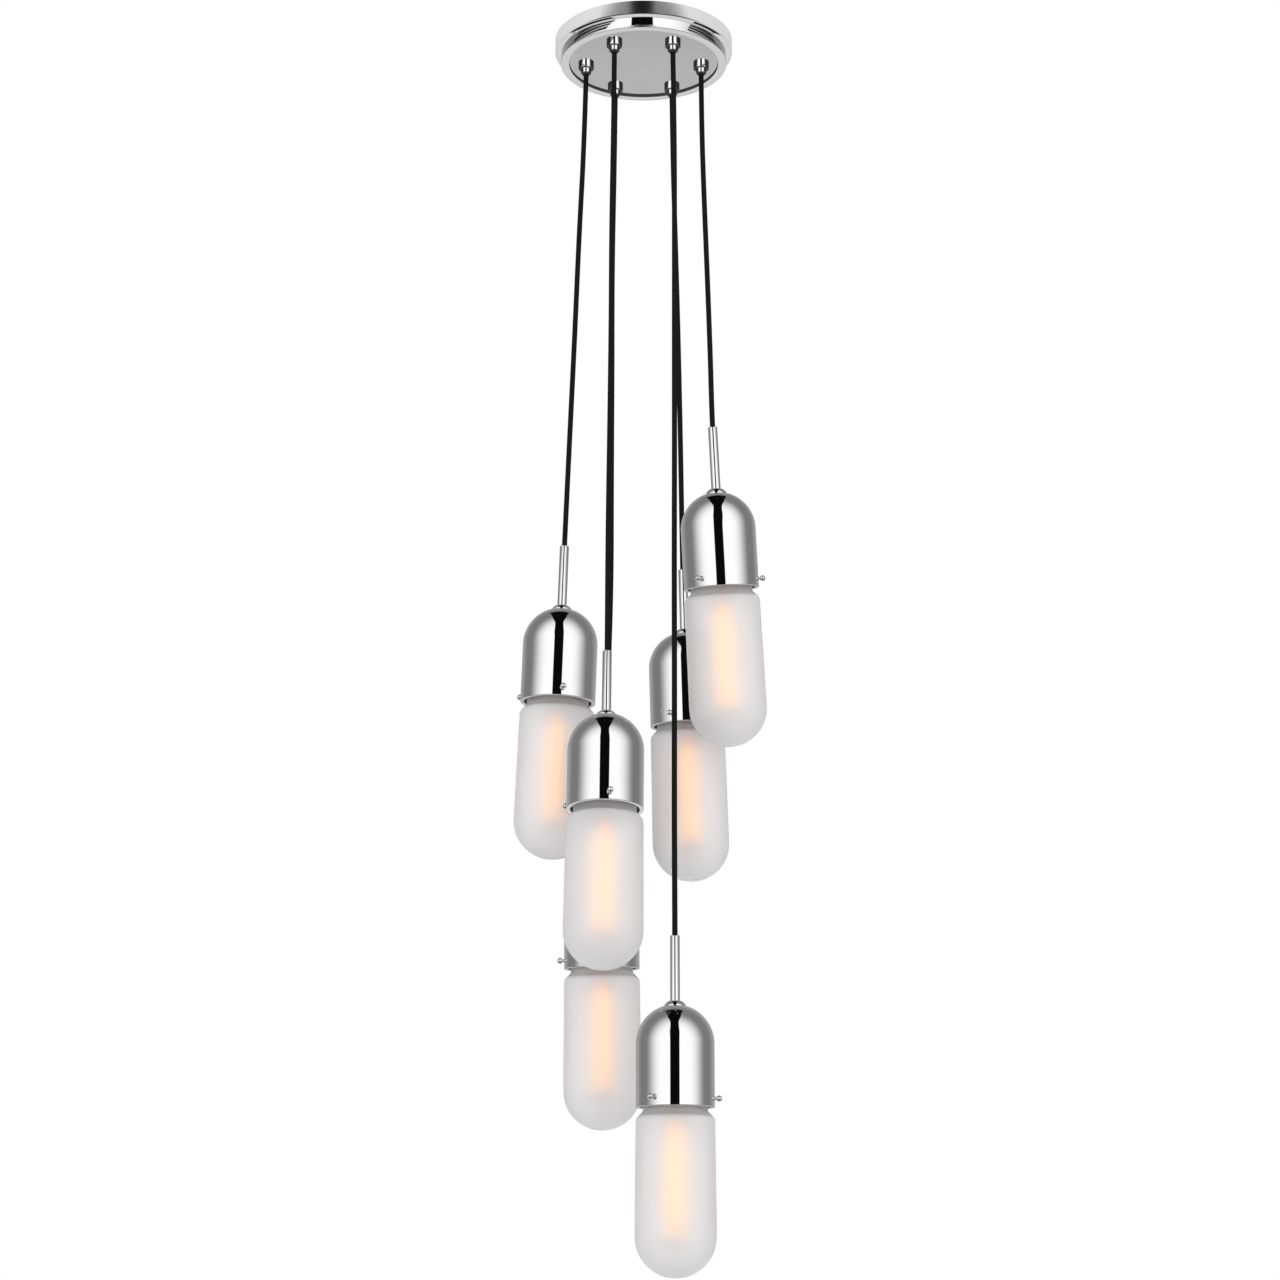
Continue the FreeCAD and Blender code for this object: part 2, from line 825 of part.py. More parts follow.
def make_dome(light):
    """The spun bell: a flat for the collar, a half-round crown, a straight wall and a turned-in rim."""
    body = new_body(f"dome_{light}")
    radius = size("dome_radius")
    wall = size("dome_sheet")
    wall_top = size("dome_wall_height")
    top = dome_top()
    under_top = top - wall
    inner = radius - wall
    inner_flat = inner.side(under_top - wall_top)
    bore = size("stem_radius") + size("thread_clearance")
    edge = size("dome_edge_radius")
    turn_profile(
        body,
        [
            (bore, under_top),
            (inner_flat, under_top),
            (inner, wall_top, inner, -1),
            (inner, size("dome_rim_thickness")),
            (rim_radius(), size("dome_rim_thickness")),
            (rim_radius(), ZERO),
            (radius - edge, ZERO),
            (radius, edge, edge, 1),
            (radius, wall_top),
            (size("dome_flat_radius"), top, radius, 1),
            (bore, top),
        ],
    )
    height = size("screw_height")
    hole_radius = size("screw_shank_radius") + size("screw_hole_clearance")
    hole = cut_hole(body, f"dome_{light}_hole", "YZ_Plane", ZERO, height, hole_radius, reverse=True)
    repeat_round(body, [hole], THUMB_SCREW_COUNT)
    body.Placement = light_pose(light)


def make_thumb_screws(light):
    """Three slotted ball-headed screws through the dome's wall, whose tips hold the glass neck."""
    body = new_body(f"thumb_screws_{light}", grouped=True)
    wall = size("dome_radius")
    ball = size("screw_ball_radius")
    centre = wall + size("screw_ball_reach")
    neck = size("screw_neck_radius")
    neck_end = centre - ball.side(neck)
    foot = size("screw_foot_radius")
    foot_end = wall + size("screw_foot_height")
    slot_floor = centre + ball - size("screw_slot_depth")
    half_slot = size("screw_slot_width") / 2
    tip = shade_neck() + size("screw_tip_gap")
    screw = turn_profile(
        body,
        [
            (tip, ZERO),
            (centre + ball, ZERO),
            (centre, ball, ball, 1),
            (neck_end, neck, ball, 1),
            (foot_end, neck),
            (wall, foot),
            (wall, size("screw_shank_radius")),
            (tip, size("screw_shank_radius")),
        ],
        axis="H_Axis",
        shift_y=size("screw_height"),
    )
    slot_sketch = new_sketch(body, f"{body.Label}_slot_outline", "XZ_Plane", shift_y=size("screw_height"))
    outline(
        slot_sketch,
        [
            (slot_floor, -half_slot),
            (centre + ball * 2, -half_slot),
            (centre + ball * 2, half_slot),
            (slot_floor, half_slot),
        ],
    )
    slot = body.newObject("PartDesign::Pocket", f"{body.Label}_slot")
    slot.Profile = slot_sketch
    slot.Type = "ThroughAll"
    slot.Midplane = True
    repeat_round(body, [screw, slot], THUMB_SCREW_COUNT)
    body.Placement = light_pose(light)


def make_socket(light):
    """The lamp socket, screwed to the stem against the inside of the dome."""
    body = new_body(f"socket_{light}")
    top = dome_top() - size("dome_sheet")
    neck_bottom = top - size("socket_neck_height")
    shoulder_bottom = neck_bottom - size("socket_shoulder_height")
    mouth = socket_mouth()
    floor = mouth + size("socket_bore_depth")
    bore = size("stem_radius") + size("thread_clearance")
    bore_floor = stem_bottom() - size("thread_clearance")
    edge = size("socket_edge")
    turn_profile(
        body,
        [
            (ZERO, floor),
            (size("socket_bore_radius"), floor),
            (size("socket_bore_radius"), mouth),
            (size("socket_radius") - edge, mouth),
            (size("socket_radius"), mouth + edge, edge, 1),
            (size("socket_radius"), shoulder_bottom),
            (size("socket_neck_radius"), neck_bottom),
            (size("socket_neck_radius"), top),
            (bore, top),
            (bore, bore_floor),
            (ZERO, bore_floor),
        ],
    )
    body.Placement = light_pose(light)


def make_lamp(light):
    """The tubular lamp: a screw cap in the socket and a hollow glass tube with a round tip."""
    body = new_body(f"lamp_{light}")
    mouth = socket_mouth()
    cap = size("socket_bore_radius") - size("lamp_cap_clearance")
    contact_top = mouth + size("socket_bore_depth") - size("lamp_contact_gap")
    crown = mouth + size("lamp_cap_crown")
    glass = size("lamp_glass")
    radius = size("lamp_radius")
    inner = radius - glass
    tip = size("lamp_tip_gap") - size("shade_length")
    shoulder = mouth - size("lamp_shoulder")
    bend = size("lamp_shoulder_radius")
    turn_profile(
        body,
        [
            (ZERO, tip),
            (radius, tip + radius, radius, 1),
            (radius, shoulder),
            (cap, mouth, bend, 1),
            (cap, crown),
            (size("lamp_contact_radius"), contact_top),
            (ZERO, contact_top),
            (ZERO, crown - glass),
            (cap - glass, crown - glass),
            (cap - glass, mouth),
            (inner, shoulder, bend, -1),
            (inner, tip + radius),
            (ZERO, tip + glass, inner, -1),
        ],
    )
    body.Placement = light_pose(light)


def make_shade(light):
    """The frosted glass capsule: a beaded neck inside the dome, a coned shoulder and a round end.

    The inside runs one glass thickness behind the outside all the way, so its curves share centres.
    """
    body = new_body(f"shade_{light}")
    glass = size("shade_glass")
    neck = shade_neck()
    neck_top = size("shade_neck_top")
    bead = neck + size("shade_bead_step")
    bead_top = neck_top + size("shade_bead_height")
    cove = size("shade_cove_radius")
    shoulder = size("shade_shoulder_radius")
    top_radius = size("dome_radius") + size("shade_overhang")
    radius = top_radius + size("shade_flare")
    inner = radius - glass
    end_centre = radius - size("shade_length")
    across = size("shade_cone_lean").cosine()
    along = size("shade_cone_lean").sine()
    shoulder_x = top_radius - shoulder
    shoulder_y = -size("shade_shoulder_drop")
    cone_foot = shoulder_x + shoulder * across
    cone_head = neck + cove - cove * across
    cone_rise = (cone_foot - cone_head) * across / along
    cove_y = shoulder_y + (shoulder + cove) * along + cone_rise
    turn_profile(
        body,
        [
            (ZERO, -size("shade_length")),
            (radius, end_centre, radius, 1),
            (top_radius, shoulder_y),
            (cone_foot, shoulder_y + shoulder * along, shoulder, 1),
            (cone_head, cove_y - cove * along),
            (neck, cove_y, cove, -1),
            (neck, neck_top),
            (bead, neck_top),
            (bead, bead_top),
            (neck - glass, bead_top),
            (neck - glass, cove_y),
            (cone_head - glass * across, cove_y - (cove + glass) * along, cove + glass, 1),
            (cone_foot - glass * across, shoulder_y + (shoulder - glass) * along),
            (top_radius - glass, shoulder_y, shoulder - glass, -1),
            (inner, end_centre),
            (ZERO, glass - size("shade_length"), inner, -1),
        ],
    )
    body.Placement = light_pose(light)


def grip_place(light):
    """Where a light's cord leaves its bushing."""
    bearing = math.radians(FULL_TURN * GRIP_PLACES[light] / GRIP_COUNT)
    reach = grip_circle().value
    return FreeCAD.Vector(reach * math.cos(bearing), reach * math.sin(bearing), cord_mouth().value)


def cord_points(light):
    """A cord's route: out of the bushing, down the chosen points and straight into the stem."""
    top = stem_top_place(light)
    axis = stem_axis(light)
    over = top + axis * size("cord_straight_above_stem").value
    end = top - axis * size("cord_in_stem").value
    return [grip_place(light)] + [FreeCAD.Vector(*point) for point in CORD_ROUTES[light]] + [over, end]


def cord_path(points):
    """Straight runs joined by tangent arcs, with the least radius of those arcs."""
    edges = []
    radii = []
    start = points[0]
    for before, corner, after in zip(points, points[1:], points[2:]):
        run_in = corner - before
        run_out = after - corner
        setback = CORD_SETBACK_SHARE * min(run_in.Length, run_out.Length)
        half_turn = run_in.getAngle(run_out) / 2
        radius = setback / math.tan(half_turn)
        run_in.normalize()
        run_out.normalize()
        first = corner - run_in * setback
        last = corner + run_out * setback
        middle = corner + (run_out - run_in).normalize() * radius * (1 / math.cos(half_turn) - 1)
        edges.append(Part.LineSegment(start, first).toShape())
        edges.append(Part.Arc(first, middle, last).toShape())
        radii.append(radius)
        start = last
    edges.append(Part.LineSegment(start, points[-1]).toShape())
    return Part.Wire(edges), min(radii)


def make_cord(light):
    """One textile cord, round-ended where it hinges in its bushing."""
    points = cord_points(light)
    path, least_radius = cord_path(points)
    radius = size("cord_radius").value
    section = Part.Wire([Part.makeCircle(radius, points[0], points[1] - points[0])])
    tube = path.makePipeShell([section], True, False)
    expected = math.pi * radius**2 * path.Length
    cap = Part.makeSphere(radius, points[0], points[0] - points[1], 0, QUARTER_TURN, FULL_TURN)
    cord = doc.addObject("Part::Feature", f"cord_{light}")
    cord.Label = f"cord_{light}"
    cord.Shape = tube.fuse(cap)
    cord.Placement = FreeCAD.Placement()
    nodes.append(cord)
    print(
        f"cord_{light}: length {path.Length:.1f} mm, least radius {least_radius:.0f} mm,"
        f" volume over section times length {tube.Volume / expected:.4f}"
    )


def faults():
    """Names of objects that failed, and of pieces without a sound shape."""
    failed = [item.Name for item in doc.Objects if {"Invalid", "Error"} & set(item.State)]
    unsound = [node.Label for node in nodes if node.Shape.isNull() or not node.Shape.isValid()]
    return failed + unsound


make_canopy_pan()
make_canopy_plate()
make_ceiling_bracket()
make_ground_screw()
make_canopy_screws()
make_plate_screws()
make_cord_grips()
make_grip_bushings()
make_grip_nuts()
make_cord_tails()
for light_number in LIGHTS:
    make_cord(light_number)
    make_stem(light_number)
    make_collar(light_number)
    make_dome(light_number)
    make_thumb_screws(light_number)
    make_socket(light_number)
    make_lamp(light_number)
    make_shade(light_number)
doc.recompute()

if faults():
    raise RuntimeError("these failed: " + ", ".join(faults()))

os.makedirs("parts", exist_ok=True)
for node in nodes:
    node.Shape.exportStep(f"parts/{node.Label}.step")
print(f"{len(nodes)} pieces written")
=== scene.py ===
"""A six-light cluster pendant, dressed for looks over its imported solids.

Everything is in metres, in the frame of the solids: the origin is the centre of the canopy at the
ceiling, +Z is up and the viewer stands at -Y. Each light also has a frame of its own, whose origin is
the centre of its dome's rim and whose z axis runs up its stem. The sizes of turned pieces are in
millimetres, as a maker would write them, and are scaled once when a mesh is built.
"""

import logging
import math
from abc import ABC, abstractmethod
from collections.abc import Callable, Iterable
from dataclasses import dataclass, field
from enum import Enum
from functools import cache

import bmesh
import bpy
from mathutils import Matrix, Vector


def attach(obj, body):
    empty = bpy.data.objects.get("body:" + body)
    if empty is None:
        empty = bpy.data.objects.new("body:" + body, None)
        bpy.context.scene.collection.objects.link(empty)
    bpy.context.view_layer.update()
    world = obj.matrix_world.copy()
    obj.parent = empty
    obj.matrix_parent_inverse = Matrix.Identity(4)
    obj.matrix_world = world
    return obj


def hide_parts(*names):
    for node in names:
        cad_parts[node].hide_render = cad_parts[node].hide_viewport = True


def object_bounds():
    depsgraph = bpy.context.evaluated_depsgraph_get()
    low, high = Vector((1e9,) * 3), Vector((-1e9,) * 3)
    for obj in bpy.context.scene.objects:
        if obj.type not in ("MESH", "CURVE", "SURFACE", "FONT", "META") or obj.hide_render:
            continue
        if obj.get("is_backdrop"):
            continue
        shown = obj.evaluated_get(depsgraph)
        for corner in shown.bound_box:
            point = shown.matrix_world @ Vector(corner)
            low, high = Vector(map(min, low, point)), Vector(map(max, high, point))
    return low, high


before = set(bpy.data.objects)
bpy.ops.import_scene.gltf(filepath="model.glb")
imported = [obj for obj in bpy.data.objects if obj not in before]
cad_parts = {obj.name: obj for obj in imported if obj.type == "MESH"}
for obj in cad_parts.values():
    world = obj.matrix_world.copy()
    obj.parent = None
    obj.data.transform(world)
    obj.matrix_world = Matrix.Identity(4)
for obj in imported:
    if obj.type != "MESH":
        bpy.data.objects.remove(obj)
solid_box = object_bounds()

logging.basicConfig(level=logging.INFO, format="%(levelname)s %(message)s")
LOG = logging.getLogger("cluster_pendant")

Point = tuple[float, float]
Place = tuple[float, float, float]
Colour = tuple[float, float, float]
Socket = bpy.types.NodeSocket
Mesh = bpy.types.Mesh
Material = bpy.types.Material

MM = 0.001
SHARP_ABOVE = math.radians(32.0)
WHITE = (1.0, 1.0, 1.0)

# Shared by the turned pieces, in millimetres: how far sharp edges are broken, the fine thread of the
# stems and grips, the small screws, and where the cords enter the grips.
BREAK = 0.25
FINE_BREAK = 0.2
THREAD_PITCH = 1.0
THREAD_DEPTH = 0.45
SCREW_RADIUS = 1.5
SCREW_ROOT = 1.2
GRIP_CIRCLE = 65.0
GRIP_MOUTH = -41.6
CORD_RADIUS = 2.85


# Shader helpers


class Shader:
    """A material or world under construction, with one method that makes any node."""

    def __init__(self, owner: Material | bpy.types.World) -> None:
        """Start with an empty node tree.

        Args:
            owner: The material or world whose nodes are made.
        """
        owner.use_nodes = True
        self.owner = owner
        self.tree = owner.node_tree
        self.tree.nodes.clear()

    def node(self, kind: str, settings: dict | None = None, **values: object) -> bpy.types.Node:
        """Make a node, set it up, then fill its sockets.

        Args:
            kind: The node's type name without its "ShaderNode" prefix.
            settings: Attributes to set first.
            values: Socket names in lower case, with _ for a space or i0, i1 for places, to values or links.

        Returns:
            The new node.
        """
        made = self.tree.nodes.new("ShaderNode" + kind)
        for name, setting in (settings or {}).items():
            setattr(made, name, setting)
        for name, value in values.items():
            self._fill(self._socket(made, name), value)
        return made

    def value(self, kind: str, output: str, settings: dict | None = None, **values: object) -> "Value":
        """Make a node, as node does, and wrap the output of this name."""
        return Value(self, self.node(kind, settings, **values).outputs[output])

    def parts(self, output: str) -> tuple["Value", ...]:
        """The x, y and z of where a point is, in the frame that the output names."""
        parts = self.node("SeparateXYZ", vector=self.node("TexCoord").outputs[output])
        return tuple(Value(self, part) for part in parts.outputs)

    def far_from(self, middle: float, half: float) -> "Value":
        """How far a point is up or down from a middle height, in halves; both are in millimetres."""
        return abs(self.parts("Object")[2] - middle * MM) / (half * MM)

    def cloud(self, scale: float, detail: float) -> "Value":
        """Soft noise from 0 to 1, fixed to the object, of a scale and a number of layers."""
        where = self.node("TexCoord").outputs["Object"]
        return self.value("TexNoise", "Fac", vector=where, scale=scale, detail=detail)

    def relief(self, height: "Value", strength: float, distance: float = 0.0002) -> Socket:
        """A normal with bumps that follow a height, of a strength and up to a distance in metres."""
        return self.node("Bump", strength=strength, distance=distance, height=height).outputs[0]

    def body(self, **values: object) -> Socket:
        """A principled surface; the values are its sockets, as for node."""
        return self.node("BsdfPrincipled", **values).outputs[0]

    def blend(self, share: object, first: Socket, second: Socket) -> Socket:
        """A surface between two surfaces, by a share of the second."""
        return self.node("MixShader", i0=share, i1=first, i2=second).outputs[0]

    def finish(self, surface: Socket) -> None:
        """Join a surface to the output."""
        kind = "OutputWorld" if isinstance(self.owner, bpy.types.World) else "OutputMaterial"
        self.node(kind, i0=surface)

    @staticmethod
    def _socket(made: bpy.types.Node, name: str) -> Socket:
        """Find an input by its place or its name.

        Args:
            made: The node.
            name: The input's name or place, as for node.

        Returns:
            The input.
        """
        if name[0] == "i" and name[1:].isdigit():
            return made.inputs[int(name[1:])]
        return next(item for item in made.inputs if item.name.lower().replace(" ", "_") == name)

    def _fill(self, socket: Socket, value: object) -> None:
        """Link or set one input.

        Args:
            socket: The input.
            value: What it gets: a value, a socket, a number or a colour.
        """
        if isinstance(value, Value):
            value = value.socket
        if isinstance(value, Socket):
            self.tree.links.new(value, socket)
        elif isinstance(value, tuple) and len(value) == 3 and socket.type == "RGBA":
            socket.default_value = (*value, 1.0)
        else:
            socket.default_value = value


def math_method(operation: str, reflected: bool = False) -> Callable[..., "Value"]:
    """Make a method that applies a Math node to a value and to what it is given.

    Args:
        operation: The node's operation.
        reflected: Whether the value comes after what it is given.

    Returns:
        The method.
    """

    def apply(self: "Value", *others: object) -> "Value":
        """Apply the node.

        Args:
            *others: The node's other inputs.

        Returns:
            What the node gives.
        """
        inputs = (*others, self) if reflected else (self, *others)
        numbered = {f"i{place}": item for place, item in enumerate(inputs)}
        return self.shader.value("Math", "Value", {"operation": operation}, **numbered)

    return apply


class Value:
    """A number that flows between nodes, so that sums on it can be written as sums."""

    __add__ = __radd__ = math_method("ADD")
    __mul__ = __rmul__ = math_method("MULTIPLY")
    __sub__, __rsub__ = math_method("SUBTRACT"), math_method("SUBTRACT", reflected=True)
    __truediv__, __rtruediv__ = math_method("DIVIDE"), math_method("DIVIDE", reflected=True)
    __abs__ = math_method("ABSOLUTE")
    sine = math_method("SINE")
    at_most = math_method("MINIMUM")

    def __init__(self, shader: Shader, socket: Socket) -> None:
        """Wrap the output that gives the number."""
        self.shader = shader
        self.socket = socket

    def fade(self, low: float, high: float) -> "Value":
        """A smooth step from 0 at low to 1 at high, which runs down where high is below low."""
        settings = {"interpolation_type": "SMOOTHSTEP"}
        return self.shader.value("MapRange", "Result", settings, value=self, i1=low, i2=high)

    def mix(self, first: object, second: object) -> Socket:
        """The socket of a colour between two colours, by this share of the second."""
        return self.shader.node("Mix", {"data_type": "RGBA"}, i0=self, i6=first, i7=second).outputs[2]


def darker(colour: Colour, share: float) -> Colour:
    """A colour with a share of its brightness taken away."""
    return tuple(part * (1.0 - share) for part in colour)


def polar(reach: float, angle: float, height: float) -> Place:
    """A place at a distance from the z axis, an angle round it in radians and a height."""
    return (reach * math.cos(angle), reach * math.sin(angle), height)


# Finishes


class Look(ABC):
    """What a material is made from. Each kind of look says what its surface is."""

    name: str

    @abstractmethod
    def surface(self, shader: Shader) -> Socket:
        """Make the surface in a material under construction, and give its socket."""

    def material(self) -> Material:
        """Make the finish.

        Returns:
            The material.
        """
        made = bpy.data.materials.new(self.name)
        shader = Shader(made)
        shader.finish(self.surface(shader))
        return made


@dataclass(frozen=True)
class Metal(Look):
    """Bare or plated metal with faint marks of polishing or wear."""

    name: str
    colour: Colour
    roughness: float
    mark_share: float
    mark_size: float
    bump: float = 0.0

    def surface(self, shader: Shader) -> Socket:
        """Make the surface.

        Args:
            shader: The material under construction.

        Returns:
            The surface's socket.
        """
        cloud = shader.cloud(self.mark_size, 3.0)
        colour = cloud.fade(0.35, 0.75).mix(self.colour, darker(self.colour, self.mark_share))
        rough = cloud * (self.mark_share * 0.5) + self.roughness
        bumps = {}
        if self.bump:
            bumps["normal"] = shader.relief(shader.cloud(self.mark_size * 8, 2.0), self.bump)
        return shader.body(base_color=colour, metallic=1.0, roughness=rough, **bumps)


@dataclass(frozen=True)
class PaintedSideMetal(Look):
    """Metal that mirrors what faces it, with a painted reflection at its sides: a plain colour, pale or dark,
    blended in where the surface turns away from the view.
    """

    name: str
    colour: Colour
    # The colour of the painted reflection at the sides.
    painted_side: Colour
    roughness: float
    facing: tuple[float, float]
    most: float

    def surface(self, shader: Shader) -> Socket:
        """Make the surface.

        Args:
            shader: The material under construction.

        Returns:
            The surface's socket.
        """
        rough = shader.cloud(25.0, 3.0) * 0.03 + self.roughness
        mirror = shader.body(base_color=self.colour, metallic=1.0, roughness=rough)
        # Painted reflection: a plain diffuse layer, pale or dark, that stands in for what the sides would
        # mirror.
        pale = shader.body(base_color=self.painted_side, roughness=0.5)
        turned_away = shader.value("LayerWeight", "Facing", blend=0.5)
        return shader.blend(turned_away.fade(*self.facing) * self.most, mirror, pale)


@dataclass(frozen=True)
class Dull(Look):
    """A non-metal surface: ceramic, rubber, paint or the like, with a fine uneven tone."""

    name: str
    colour: Colour
    roughness: float
    tone_share: float
    tone_size: float
    bump: float = 0.1
    coat: float = 0.0

    def surface(self, shader: Shader) -> Socket:
        """Make the surface.

        Args:
            shader: The material under construction.

        Returns:
            The surface's socket.
        """
        cloud = shader.cloud(self.tone_size, 4.0)
        return shader.body(
            base_color=cloud.mix(self.colour, darker(self.colour, self.tone_share)),
            roughness=self.roughness,
            normal=shader.relief(shader.cloud(self.tone_size * 20, 2.0), self.bump),
            coat_weight=self.coat,
        )


@dataclass(frozen=True)
class WovenTextile(Look):
    """The braided sleeve of a lamp cord, with its strands laid along the cord's own length."""

    length: float
    name: str = "woven_black_tail"
    colour: Colour = (0.0065, 0.0060, 0.0062)
    raised_colour: Colour = (0.0150, 0.0138, 0.0142)
    carriers: int = 12
    pitch: float = 0.0105

    def surface(self, shader: Shader) -> Socket:
        """Make the surface.

        Args:
            shader: The material under construction.

        Returns:
            The surface's socket.
        """
        x, y, _ = shader.parts("UV")
        strands = math.tau * self.carriers / 2
        along = x * (strands * self.length / self.pitch)
        around = y * strands
        braid = (along + around).sine() * (along - around).sine()
        return shader.body(
            base_color=braid.fade(-0.6, 0.9).mix(self.colour, self.raised_colour),
            roughness=0.9,
            normal=shader.relief(braid, 0.2),
            specular_ior_level=0.12,
        )


@dataclass(frozen=True)
class FrostedGlass(Look):
    """Acid-etched glass: it scatters light softly, lets the lamp behind it glow through, and adds a faint
    painted glow of its own.
    """

    name: str = "etched_glass"
    colour: Colour = (0.99, 0.99, 1.0)
    milk: Colour = (0.95, 0.96, 0.985)
    painted_glow_colour: Colour = (1.0, 0.98, 0.97)
    roughness: float = 0.38
    milk_share: float = 0.36
    # A faint even emission from the glass itself: painted glow, in place of the lamp's light scattered in it.
    glow: float = 0.05

    def surface(self, shader: Shader) -> Socket:
        """Make the surface.

        Args:
            shader: The material under construction.

        Returns:
            The surface's socket.
        """
        clear = shader.body(
            base_color=self.colour,
            roughness=self.roughness,
            transmission_weight=1.0,
            ior=1.4,
            specular_ior_level=0.4,
        )
        milk = shader.body(
            base_color=(shader.cloud(35.0, 3.0) * 0.6).mix(self.milk, self.colour),
            roughness=0.55,
            normal=shader.relief(shader.cloud(2500.0, 1.0), 0.08, 0.0001),
            specular_ior_level=0.4,
            # Painted glow.
            emission_color=self.painted_glow_colour,
            emission_strength=self.glow,
        )
        return shader.blend(self.milk_share, clear, milk)


@dataclass(frozen=True)
class LampGlass(Look):
    """The thin envelope of a lit lamp, which glows warm along its filaments and stays plain at its neck.

    Its middle and half its glowing length are in millimetres from the dome's rim.
    """

    name: str = "lamp_envelope_glass"
    colour: Colour = (0.32, 0.20, 0.06)
    bloom: Colour = (1.0, 0.62, 0.36)
    end_bloom: Colour = (0.16, 0.08, 0.06)
    strength: float = 1.0
    cover: float = 0.62
    clear_ends: float = 0.75
    middle: float = -77.0
    half: float = 68.0

    def surface(self, shader: Shader) -> Socket:
        """Make the surface.

        Args:
            shader: The material under construction.

        Returns:
            The surface's socket.
        """
        ends = shader.far_from(self.middle, self.half).fade(0.66, 0.92)
        uneven = shader.cloud(40.0, 2.0) * 0.05 + (self.cover - 0.025)
        return shader.body(
            base_color=self.colour,
            roughness=0.06,
            alpha=uneven * (1.0 - ends * self.clear_ends),
            emission_color=ends.mix(self.bloom, self.end_bloom),
            emission_strength=self.strength,
        )


@dataclass(frozen=True)
class Glow(Look):
    """The lamp's filaments, which give light with a warmer tone towards their ends."""

    name: str = "lamp_filament"
    colour: Colour = (1.0, 0.48, 0.01)
    end_colour: Colour = (0.30, 0.12, 0.04)
    strength: float = 2.1
    middle: float = -68.0
    half: float = 60.0

    def surface(self, shader: Shader) -> Socket:
        """Make the surface.

        Args:
            shader: The material under construction.

        Returns:
            The surface's socket.
        """
        ends = shader.far_from(self.middle, self.half).fade(0.62, 0.90)
        return shader.body(
            base_color=self.colour,
            roughness=0.5,
            emission_color=ends.mix(self.colour, self.end_colour),
            emission_strength=self.strength,
        )


class Finish(Enum):
    """The finishes that several pieces share."""

    POLISHED = Metal("mirror_nickel", (0.955,) * 3, 0.012, 0.01, 25.0)
    # The ring is a dimmed mirror whose pale sides are a painted reflection.
    RING = PaintedSideMetal("brushed_nickel_ring", (0.23,) * 3, (0.72,) * 3, 0.20, (0.109, 0.235), 0.96)
    # The grips are a bright mirror whose near-black sides are a painted dark reflection.
    GRIP = PaintedSideMetal("bright_grip_nickel", (0.95,) * 3, (0.006,) * 3, 0.02, (0.15, 0.23), 0.97)
    LIP = Metal("bright_turned_lip", (0.95,) * 3, 0.22, 0.02, 40.0)
    SATIN = Metal("brushed_face_nickel", (0.70,) * 3, 0.24, 0.03, 60.0, 0.03)
    ZINC = Metal("zinc_plated_steel", (0.62, 0.63, 0.64), 0.34, 0.14, 120.0, 0.15)
    SCREW = Metal("screw_steel", (0.74, 0.74, 0.73), 0.16, 0.08, 300.0)
    BRASS_CAP = Metal("lamp_cap_nickel_brass", (0.72, 0.68, 0.58), 0.22, 0.10, 160.0)
    EARTH_SCREW = Dull("earth_screw_green", (0.03, 0.26, 0.09), 0.35, 0.15, 400.0, 0.05, 0.4)
    # Dull and near-black: the near-black is painted shade, used inside the bell and on the plate's recess
    # wall.
    INSIDE = Dull("unpolished_inside", (0.060, 0.059, 0.058), 0.55, 0.2, 80.0)
    RUBBER = Dull("bushing_rubber", (0.018, 0.018, 0.019), 0.62, 0.2, 500.0)
    TAIL = WovenTextile(0.030)
    CERAMIC = Dull("socket_ceramic", (0.78, 0.77, 0.73), 0.24, 0.06, 90.0, 0.04, 0.6)
    FROSTED = FrostedGlass()
    # The neck's grey milk is painted shade under the dome's rim.
    NECK = FrostedGlass("clear_neck_glass", milk=(0.50, 0.50, 0.51), milk_share=0.30, glow=0.0)
    ENVELOPE = LampGlass()
    FILAMENT = Glow()

    @cache
    def material(self) -> Material:
        """Make the finish once, and give the same material each time."""
        return self.value.material()


# Mesh helpers


class Outline:
    """Half a section of a turned piece, drawn point by point in millimetres."""

    def __init__(self, radius: float, height: float) -> None:
        """Start at a distance from the axis and a height."""
        self.points: list[Point] = [(radius, height)]

    def to(self, *points: Point) -> "Outline":
        """Go straight from point to point, and leave out a point that is there already.

        Args:
            points: Each point's distance from the axis and height.

        Returns:
            The outline.
        """
        for point in points:
            if math.dist(point, self.points[-1]) > MM:
                self.points.append(point)
        return self

    def arc(self, centre: Point, radius: float, start: float, end: float, steps: int) -> "Outline":
        """Follow an arc.

        Args:
            centre: The arc's centre.
            radius: Its radius.
            start: The first point's angle in degrees, from the outward direction upwards.
            end: The last point's angle in degrees.
            steps: How many parts it is drawn in.

        Returns:
            The outline.
        """
        angles = [math.radians(start + (end - start) * step / steps) for step in range(steps + 1)]
        across, up = centre
        return self.to(*((across + radius * math.cos(a), up + radius * math.sin(a)) for a in angles))

    def roll(self, corner: Point, size: float, start: float, steps: int = 5, turn: float = 90.0) -> "Outline":
        """Go round a corner by a quarter of a circle.

        Args:
            corner: Where the corner would be if it were sharp.
            size: The radius of the quarter circle.
            start: The first point's angle in degrees.
            steps: How many parts it is drawn in.
            turn: 90 for an outer corner, -90 for an inner one.

        Returns:
            The outline.
        """
        middle = math.radians(start + turn / 2)
        across = corner[0] - math.copysign(size, math.cos(middle))
        up = corner[1] - math.copysign(size, math.sin(middle))
        return self.arc((across, up), size, start, start + turn, steps)

    def thread(self, turn: tuple[Point, ...], start: float, stop: float, pitch: float) -> "Outline":
        """Repeat the points of a thread's turn upwards.

        Args:
            turn: The points of one turn, with their heights over its start.
            start: The height where the first turn starts.
            stop: The height from which no turn starts.
            pitch: The height of a turn.

        Returns:
            The outline.
        """
        while start < stop:
            self.to(*((radius, start + over) for radius, over in turn))
            start += pitch
        return self


